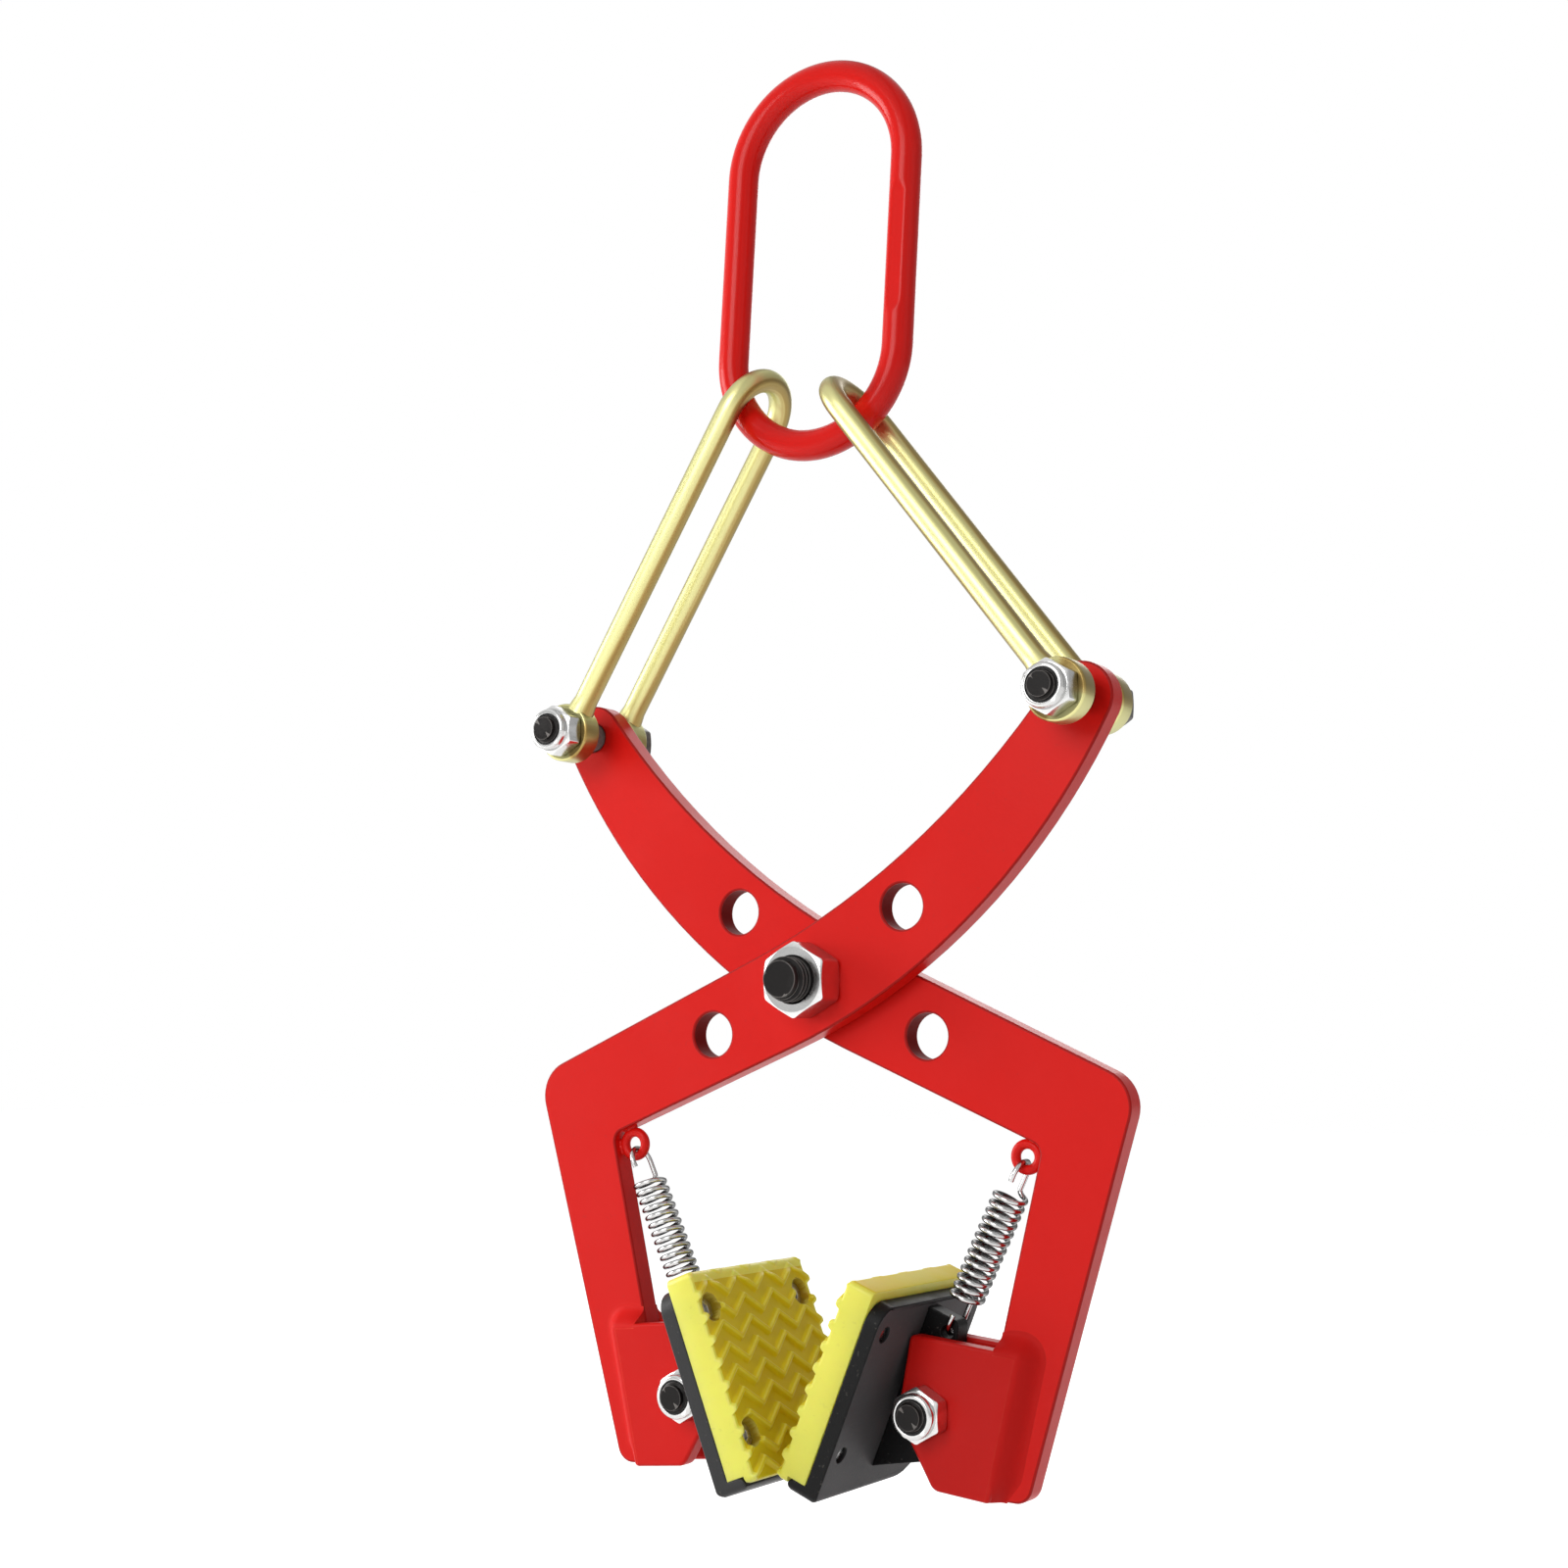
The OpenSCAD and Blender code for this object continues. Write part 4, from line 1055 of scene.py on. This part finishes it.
def spring_path(span):
    """A spring's wire along Z from the eye at 0, and where its coil starts and stops."""
    coil, wire, gap, bend = SPRING_D / 2, SPRING_WIRE / 2, 0.2, 2.0
    top = (EYE_D - EYE_BAR) / 2 - EYE_BAR / 2 - wire - gap + coil
    sag = coil - math.sqrt(coil**2 - LUG_T**2 / 4)
    low = span + sag + wire + gap - LUG_HOLE_R - coil
    start, stop = top + SPRING_NECK, low - SPRING_NECK
    path = []

    def add(x, y, z):
        """Adds a point to the wire."""
        path.append(Vector((x, y, z)))

    for t in map(math.radians, range(-20, 181, 10)):
        add(0, -coil * math.cos(t), top - coil * math.sin(t))
    for t in map(math.radians, (10, 30, 50, 70)):
        x = bend * (1 - math.cos(t))
        add(x, math.sqrt(coil**2 - x * x), start - bend * (1 - math.sin(t)))
    skew, total = math.asin(bend / coil), 2 * math.pi * SPRING_TURNS
    steps = SPRING_TURNS * 26
    for i in range(steps + 1):
        a = skew + (total - 2 * skew) * i / steps
        add(coil * math.sin(a), coil * math.cos(a), start + (stop - start) * a / total)
    for t in map(math.radians, (10, 30, 50, 70)):
        x = -bend * (1 - math.sin(t))
        add(x, math.sqrt(coil**2 - x * x), stop + bend * (1 - math.cos(t)))
    for t in map(math.radians, range(0, 201, 10)):
        add(0, coil * math.cos(t), low + coil * math.sin(t))
    return path, start, stop


class CLAMP_OT_springs(Operator):
    """The two extension springs, hooked into the eyes and the lugs"""

    bl_idname = "clamp.springs"
    bl_label = "Springs"

    def execute(self, context):
        steel, inside = spring_steel(), spring_steel("Spring wire, painted shade inside the coil", 0.16)
        eye = spring_eye_place()[0]
        tilt = math.radians(PAD_TILT)
        inward = Vector((math.cos(tilt), math.sin(tilt)))
        along = Vector((-math.sin(tilt), math.cos(tilt)))
        hole = Vector(JAW) + inward * (PAD_BACK - HOLE_IN) + along * (LUG_UP - HOLE_DOWN)
        lean = math.atan2(hole.x - eye.x, eye.y - hole.y)
        path, start, stop = spring_path((hole - eye).length)
        # Faces inside the coil, turned to its axis, take the dark copy of the wire: painted shade.
        shade_within = SPRING_D / 2 - 0.55 * SPRING_WIRE / 2
        hang = Matrix.Translation((eye.x, 0, eye.y)) @ Matrix.Rotation(math.pi - lean, 4, "Y")
        for side, _, word, body in ARMS:
            bm = bmesh.new()
            sweep(bm, path, SPRING_WIRE / 2 + WIRE_EXTRA, 16)
            for face in bm.faces:
                c = face.calc_center_median()
                face.material_index = int(start < c.z < stop and math.hypot(c.x, c.y) < shade_within)
            piece(f"Spring_{word}", bm, on_arm(side) @ hang, body, [f"{word}_spring"], "spring",
                  steel, inside, angle=60)
        return {"FINISHED"}


class CLAMP_OT_holders(Operator):
    """The black pad holders with their lugs"""

    bl_idname = "clamp.holders"
    bl_label = "Pad holders"

    def execute(self, context):
        edge = context.scene.clamp_sizes.holder_edge
        # Copies of the black paint are painted light: the lugs and the right holder's front, sides and edges
        # are darker, painted shade, and the backs are lighter, painted light.
        dark = black_paint("Black paint on lugs, painted shade", 0.22, 0.12)
        back = black_paint("Black paint on backs, painted light", 4.2, 0.06)
        fronts = black_paint(), black_paint("Black paint on the right holder, painted shade", 0.25, 0.16)
        for (side, _, word, _), front in zip(ARMS, fronts):
            body = f"{word}_pad"
            plate = soften(f"{word}_holder", f"Holder_{word}", body, "holder", edge, front, back)
            backward = (on_pad(side).to_3x3() @ -X_AXIS).normalized()
            for polygon in plate.data.polygons:
                polygon.material_index = int(polygon.normal.dot(backward) > 0.95)
            soften(f"{word}_lug", f"Lug_{word}", body, "holder", edge * 0.75, dark)
        return {"FINISHED"}


class CLAMP_OT_pads(Operator):
    """The ribbed yellow pads and their screws"""

    bl_idname = "clamp.pads"
    bl_label = "Pads"

    def execute(self, context):
        sizes = context.scene.clamp_sizes
        # The tinted copies of the polyurethane are painted shade: the gripping face, the pocket walls and the
        # top are darker than the sides.
        rubbers = (
            polyurethane(), polyurethane("Yellow polyurethane, gripping face in painted shade", (0.89, 0.76, 0.17), 0.2),
            polyurethane("Yellow polyurethane, pockets in painted shade", (0.5, 0.36, 0.12), 0.2),
            polyurethane("Yellow polyurethane, top in painted shade", (0.92, 0.8, 0.13), 0.06))
        pocket_in_shade, top_in_shade = 2, 3
        steel, screw_edge = bright_zinc("Screw zinc", 0.22, 0.4), 0.00025
        pitch, rise = sizes.rib_pitch / MM, sizes.rib_height / MM
        zig, count = sizes.zigzag_height / MM, sizes.zigzags
        half_w, low = PAD_W / 2, -PAD_DOWN - PAD_TOE
        height = PAD_UP - low
        middle = (PAD_UP + low) / 2
        first, rib_half, rib_flank = -PAD_DOWN - zig + pitch / 2, 2.0, 1.3
        pockets = [(y, z + (PAD_UP - PAD_DOWN) / 2) for y in (-SCREW_Y, SCREW_Y) for z in (-SCREW_Z, SCREW_Z)]
        face, first_step = PAD_FACE + PAD_T, 0.35
        corner, rim, crown, crown_drop, lip, wall = 2.6, 0.9, 3.2, 0.6, 1.2, 0.7
        shade_from_side, shade_from_top, top_depth = 1.6, 4.6, 0.3

        def relief(y, z):
            """How far the pad's face stands at a place: ribs, rounded rim and screw pockets."""
            wave = abs(((y + half_w) / PAD_W * count) % 1.0 * 2 - 1)
            off = (z - first - (1 - wave) * zig + pitch / 2) % pitch - pitch / 2
            rib = rise * smooth((rib_half - abs(off)) / rib_flank)
            # A rib fades to a quarter of its height under the pad's top, and at the toe it runs out
            rib *= 0.25 + 0.75 * smooth((PAD_UP - 4.0 - z) / 3)
            rib *= smooth((z - low + 1) / 4)
            n = face + rib
            edge = min(half_w - abs(y), z - low)
            if edge < rim:
                n -= rim - math.sqrt(max(0.0, rim**2 - (rim - edge) ** 2))
            if PAD_UP - z < crown:
                n -= crown_drop * (crown - math.sqrt(max(0.0, crown**2 - (crown - PAD_UP + z) ** 2)))
            for py, pz in pockets:
                d = math.hypot(y - py, z - pz)
                if d < POCKET_R + lip:
                    n -= (n - face) * smooth((POCKET_R + lip - d) / lip)
                if d < POCKET_R:
                    n -= POCKET_DEEP * smooth((POCKET_R - d) / wall)
            return n

        def place_on_face(y, z):
            """The same place, drawn in where it lies outside a rounded corner of the pad."""
            cy, cz = half_w - corner, (PAD_UP if z > 0 else -low) - corner
            dy, dz = abs(y) - cy, abs(z) - cz
            if dy > 0 and dz > 0:
                k = max(dy, dz) / math.hypot(dy, dz)
                y, z = math.copysign(cy + dy * k, y), math.copysign(cz + dz * k, z)
            return y, z

        # The pad's sides down to the holder: their depth (None is a step in from the face), how far
        # they draw in, and their lowest height
        sides = ((None, 0.0, low), (PAD_FACE + 8.8, 0.0, low), (PAD_FACE + 8.1, 0.0, low + 0.5),
                 (PAD_FACE + 8.0, 0.0, -PAD_DOWN), (PAD_FACE + 0.7, 0.0, -PAD_DOWN),
                 (PAD_FACE + 0.2, 0.2, -PAD_DOWN), (PAD_FACE, 0.7, -PAD_DOWN + 0.5))
        ny, nz = 210, 240
        for side, _, word, _ in ARMS:
            bm = bmesh.new()
            rows = []
            for i in range(ny + 1):
                y = -half_w + PAD_W * i / ny
                heights = [height * j / nz + low for j in range(nz + 1)]
                rows.append([bm.verts.new((relief(y, z), *place_on_face(y, z))) for z in heights])
            grid_faces(bm, rows, False, False)
            # Faces away from the sides and the top take the gripping face's painted shade, and the pockets a
            # deeper painted shade.
            for grip in bm.faces:
                c = grip.calc_center_median()
                grip.material_index = int(half_w - abs(c.y) > shade_from_side and PAD_UP - c.z > shade_from_top)
                if min(math.hypot(c.y - py, c.z - pz) for py, pz in pockets) < POCKET_R + 0.3:
                    grip.material_index = pocket_in_shade
            loop = [row[0] for row in rows] + rows[ny][1:]
            loop += [row[nz] for row in rows[-2::-1]] + rows[0][-2:0:-1]
            previous = loop
            for n, inset, least in sides:
                ring = []
                for v in loop:
                    y, z = v.co.y * (1 - inset / half_w), (v.co.z - middle) * (1 - inset / height * 2) + middle
                    ring.append(bm.verts.new((v.co.x - first_step if n is None else n, y, max(z, least))))
                grid_faces(bm, [previous, ring], False, True)
                previous = ring
            bm.faces.new(previous)
            bmesh.ops.remove_doubles(bm, verts=bm.verts, dist=1e-4)
            # The top takes its own painted shade.
            for facet in bm.faces:
                if all(v.co.z > PAD_UP - top_depth for v in facet.verts):
                    facet.material_index = top_in_shade
            piece(f"Pad_{word}", bm, on_pad(side), f"{word}_pad", [f"{word}_pad"], "pad", *rubbers, angle=40)
            soften(f"{word}_pad_screws", f"Pad_screws_{word}", f"{word}_pad", "screw", screw_edge,
                   steel, segments=2)
        return {"FINISHED"}


# ---------------------------------------------------------------- stage


class CLAMP_OT_stage(Operator):
    """The white floor, the lamps and the camera"""

    bl_idname = "clamp.stage"
    bl_label = "Stage"

    def execute(self, context):
        scene = context.scene
        white = scene.clamp_colours.backdrop
        self.camera(scene)
        self.floor(scene, white)
        self.world(scene, white)
        self.lamps(scene)
        return {"FINISHED"}

    @staticmethod
    def camera(scene):
        """The photo's view: from the right and the front, a little below the pivot and looking up."""
        azimuth, elevation, roll = map(math.radians, VIEW_ANGLES)
        back = Vector((math.sin(azimuth) * math.cos(elevation), -math.cos(azimuth) * math.cos(elevation),
                       math.sin(elevation)))
        right = Vector((math.cos(azimuth), math.sin(azimuth), 0))
        up = right.cross(-back)
        right, up = (math.cos(roll) * right + math.sin(roll) * up, math.cos(roll) * up - math.sin(roll) * right)
        eye = (VIEW_POINT + back * VIEW_DISTANCE - Vector((SEAT_X, 0, SEAT_Z))) * MM
        camera = bpy.data.cameras.new("Camera")
        camera.lens, camera.sensor_width, camera.sensor_fit = VIEW_LENS, 36.0, "HORIZONTAL"
        camera.clip_start = 0.01
        obj = bpy.data.objects.new("Camera", camera)
        obj.matrix_world = Matrix((
            (right.x, up.x, back.x, eye.x), (right.y, up.y, back.y, eye.y), (right.z, up.z, back.z, eye.z),
            (0, 0, 0, 1)))
        scene.collection.objects.link(obj)
        scene.camera = obj

    @staticmethod
    def floor(scene, white):
        """A wide pale floor below the hanging clamp."""
        drop, half = 0.09, 6.0
        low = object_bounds()[0][2] - drop
        bm = bmesh.new()
        bmesh.ops.create_grid(bm, x_segments=1, y_segments=1, size=half)
        mesh = bpy.data.meshes.new("Floor")
        bm.to_mesh(mesh)
        bm.free()
        floor = bpy.data.objects.new("Floor", mesh)
        floor.location = (0, 0, low)
        scene.collection.objects.link(floor)
        material, tree, shader = start_material("Floor white")
        shader.inputs["Base Color"].default_value = grey(0.8)
        shader.inputs["Roughness"].default_value = 0.9
        shader.inputs["Emission Color"].default_value = grey(1.0)
        path = tree.nodes.new("ShaderNodeLightPath")
        seen = math_node(tree, "MAXIMUM", path.outputs["Is Camera Ray"], path.outputs["Is Glossy Ray"])
        seen = math_node(tree, "MAXIMUM", seen, path.outputs["Is Transmission Ray"])
        tree.links.new(math_node(tree, "MULTIPLY", seen, 0.68 * white), shader.inputs["Emission Strength"])
        mesh.materials.append(material)
        floor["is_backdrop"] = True

    @staticmethod
    def world(scene, white):
        """White to the camera, light and dark walls in reflections, and a soft even light."""
        world = bpy.data.worlds.new("Studio")
        world.use_nodes = True
        scene.world = world
        tree = world.node_tree
        background = next(n for n in tree.nodes if n.type == "BACKGROUND")
        path = tree.nodes.new("ShaderNodeLightPath")
        coords = tree.nodes.new("ShaderNodeTexCoord")
        across = tree.nodes.new("ShaderNodeVectorMath")
        across.operation = "DOT_PRODUCT"
        across.inputs[1].default_value = (0.853, 0.522, 0.0)
        tree.links.new(coords.outputs["Generated"], across.inputs[0])
        walls = tree.nodes.new("ShaderNodeValToRGB")
        walls.color_ramp.interpolation = "EASE"
        set_stops(walls.color_ramp, [(at, (level,) * 3) for at, level in WALLS])
        tree.links.new(map_range(tree, across.outputs["Value"], 0.0, 1.0, -1.0), walls.inputs[0])
        seen = math_node(tree, "MAXIMUM", path.outputs["Is Camera Ray"], path.outputs["Is Transmission Ray"])
        glossy = math_node(tree, "MULTIPLY", path.outputs["Is Glossy Ray"], walls.outputs["Color"])
        shown = math_node(tree, "MAXIMUM", math_node(tree, "MULTIPLY", seen, white), glossy)
        background.inputs["Color"].default_value = grey(1.0)
        tree.links.new(math_node(tree, "MAXIMUM", shown, EVEN_LIGHT), background.inputs["Strength"])

    @staticmethod
    def lamps(scene):
        """A soft key from the front, one lamp from each side and one from behind."""
        middle = Vector((0, 0, -0.3))
        for name, place_at, size, power in LAMPS:
            lamp = bpy.data.lights.new(name, "AREA")
            lamp.energy, lamp.size = power, size
            obj = bpy.data.objects.new(name, lamp)
            obj.location = Vector(place_at)
            obj.rotation_euler = (middle - obj.location).to_track_quat("-Z", "Y").to_euler()
            scene.collection.objects.link(obj)


# ---------------------------------------------------------------- panel and registration

OPERATORS = (
    CLAMP_OT_master_link, CLAMP_OT_shackles, CLAMP_OT_arms, CLAMP_OT_cheeks, CLAMP_OT_spring_eyes,
    CLAMP_OT_bolts, CLAMP_OT_nuts, CLAMP_OT_springs, CLAMP_OT_holders, CLAMP_OT_pads, CLAMP_OT_stage)


class CLAMP_PT_panel(Panel):
    """The clamp's settings and the buttons that build its pieces"""

    bl_idname = "CLAMP_PT_panel"
    bl_label = "Stone lifting clamp"
    bl_space_type = "VIEW_3D"
    bl_region_type = "UI"
    bl_category = "Clamp"

    def draw(self, context):
        layout = self.layout
        for group in (context.scene.clamp_sizes, context.scene.clamp_colours):
            box = layout.box()
            for key in group.__annotations__:
                box.prop(group, key)
        column = layout.column(align=True)
        for operator in OPERATORS:
            column.operator(operator.bl_idname)


CLASSES = (ClampSizes, ClampColours) + OPERATORS + (CLAMP_PT_panel,)


def register():
    """Registers the settings, the operators and the panel."""
    for cls in CLASSES:
        bpy.utils.register_class(cls)
    bpy.types.Scene.clamp_sizes = PointerProperty(type=ClampSizes)
    bpy.types.Scene.clamp_colours = PointerProperty(type=ClampColours)


def unregister():
    """Takes everything out again that register adds."""
    del bpy.types.Scene.clamp_colours
    del bpy.types.Scene.clamp_sizes
    for cls in reversed(CLASSES):
        bpy.utils.unregister_class(cls)


def main():
    """Builds the whole scene."""
    register()
    bpy.context.scene.view_settings.view_transform = "Standard"
    for operator in OPERATORS:
        family, name = operator.bl_idname.split(".")
        getattr(getattr(bpy.ops, family), name)()


if __name__ == "__main__":
    main()
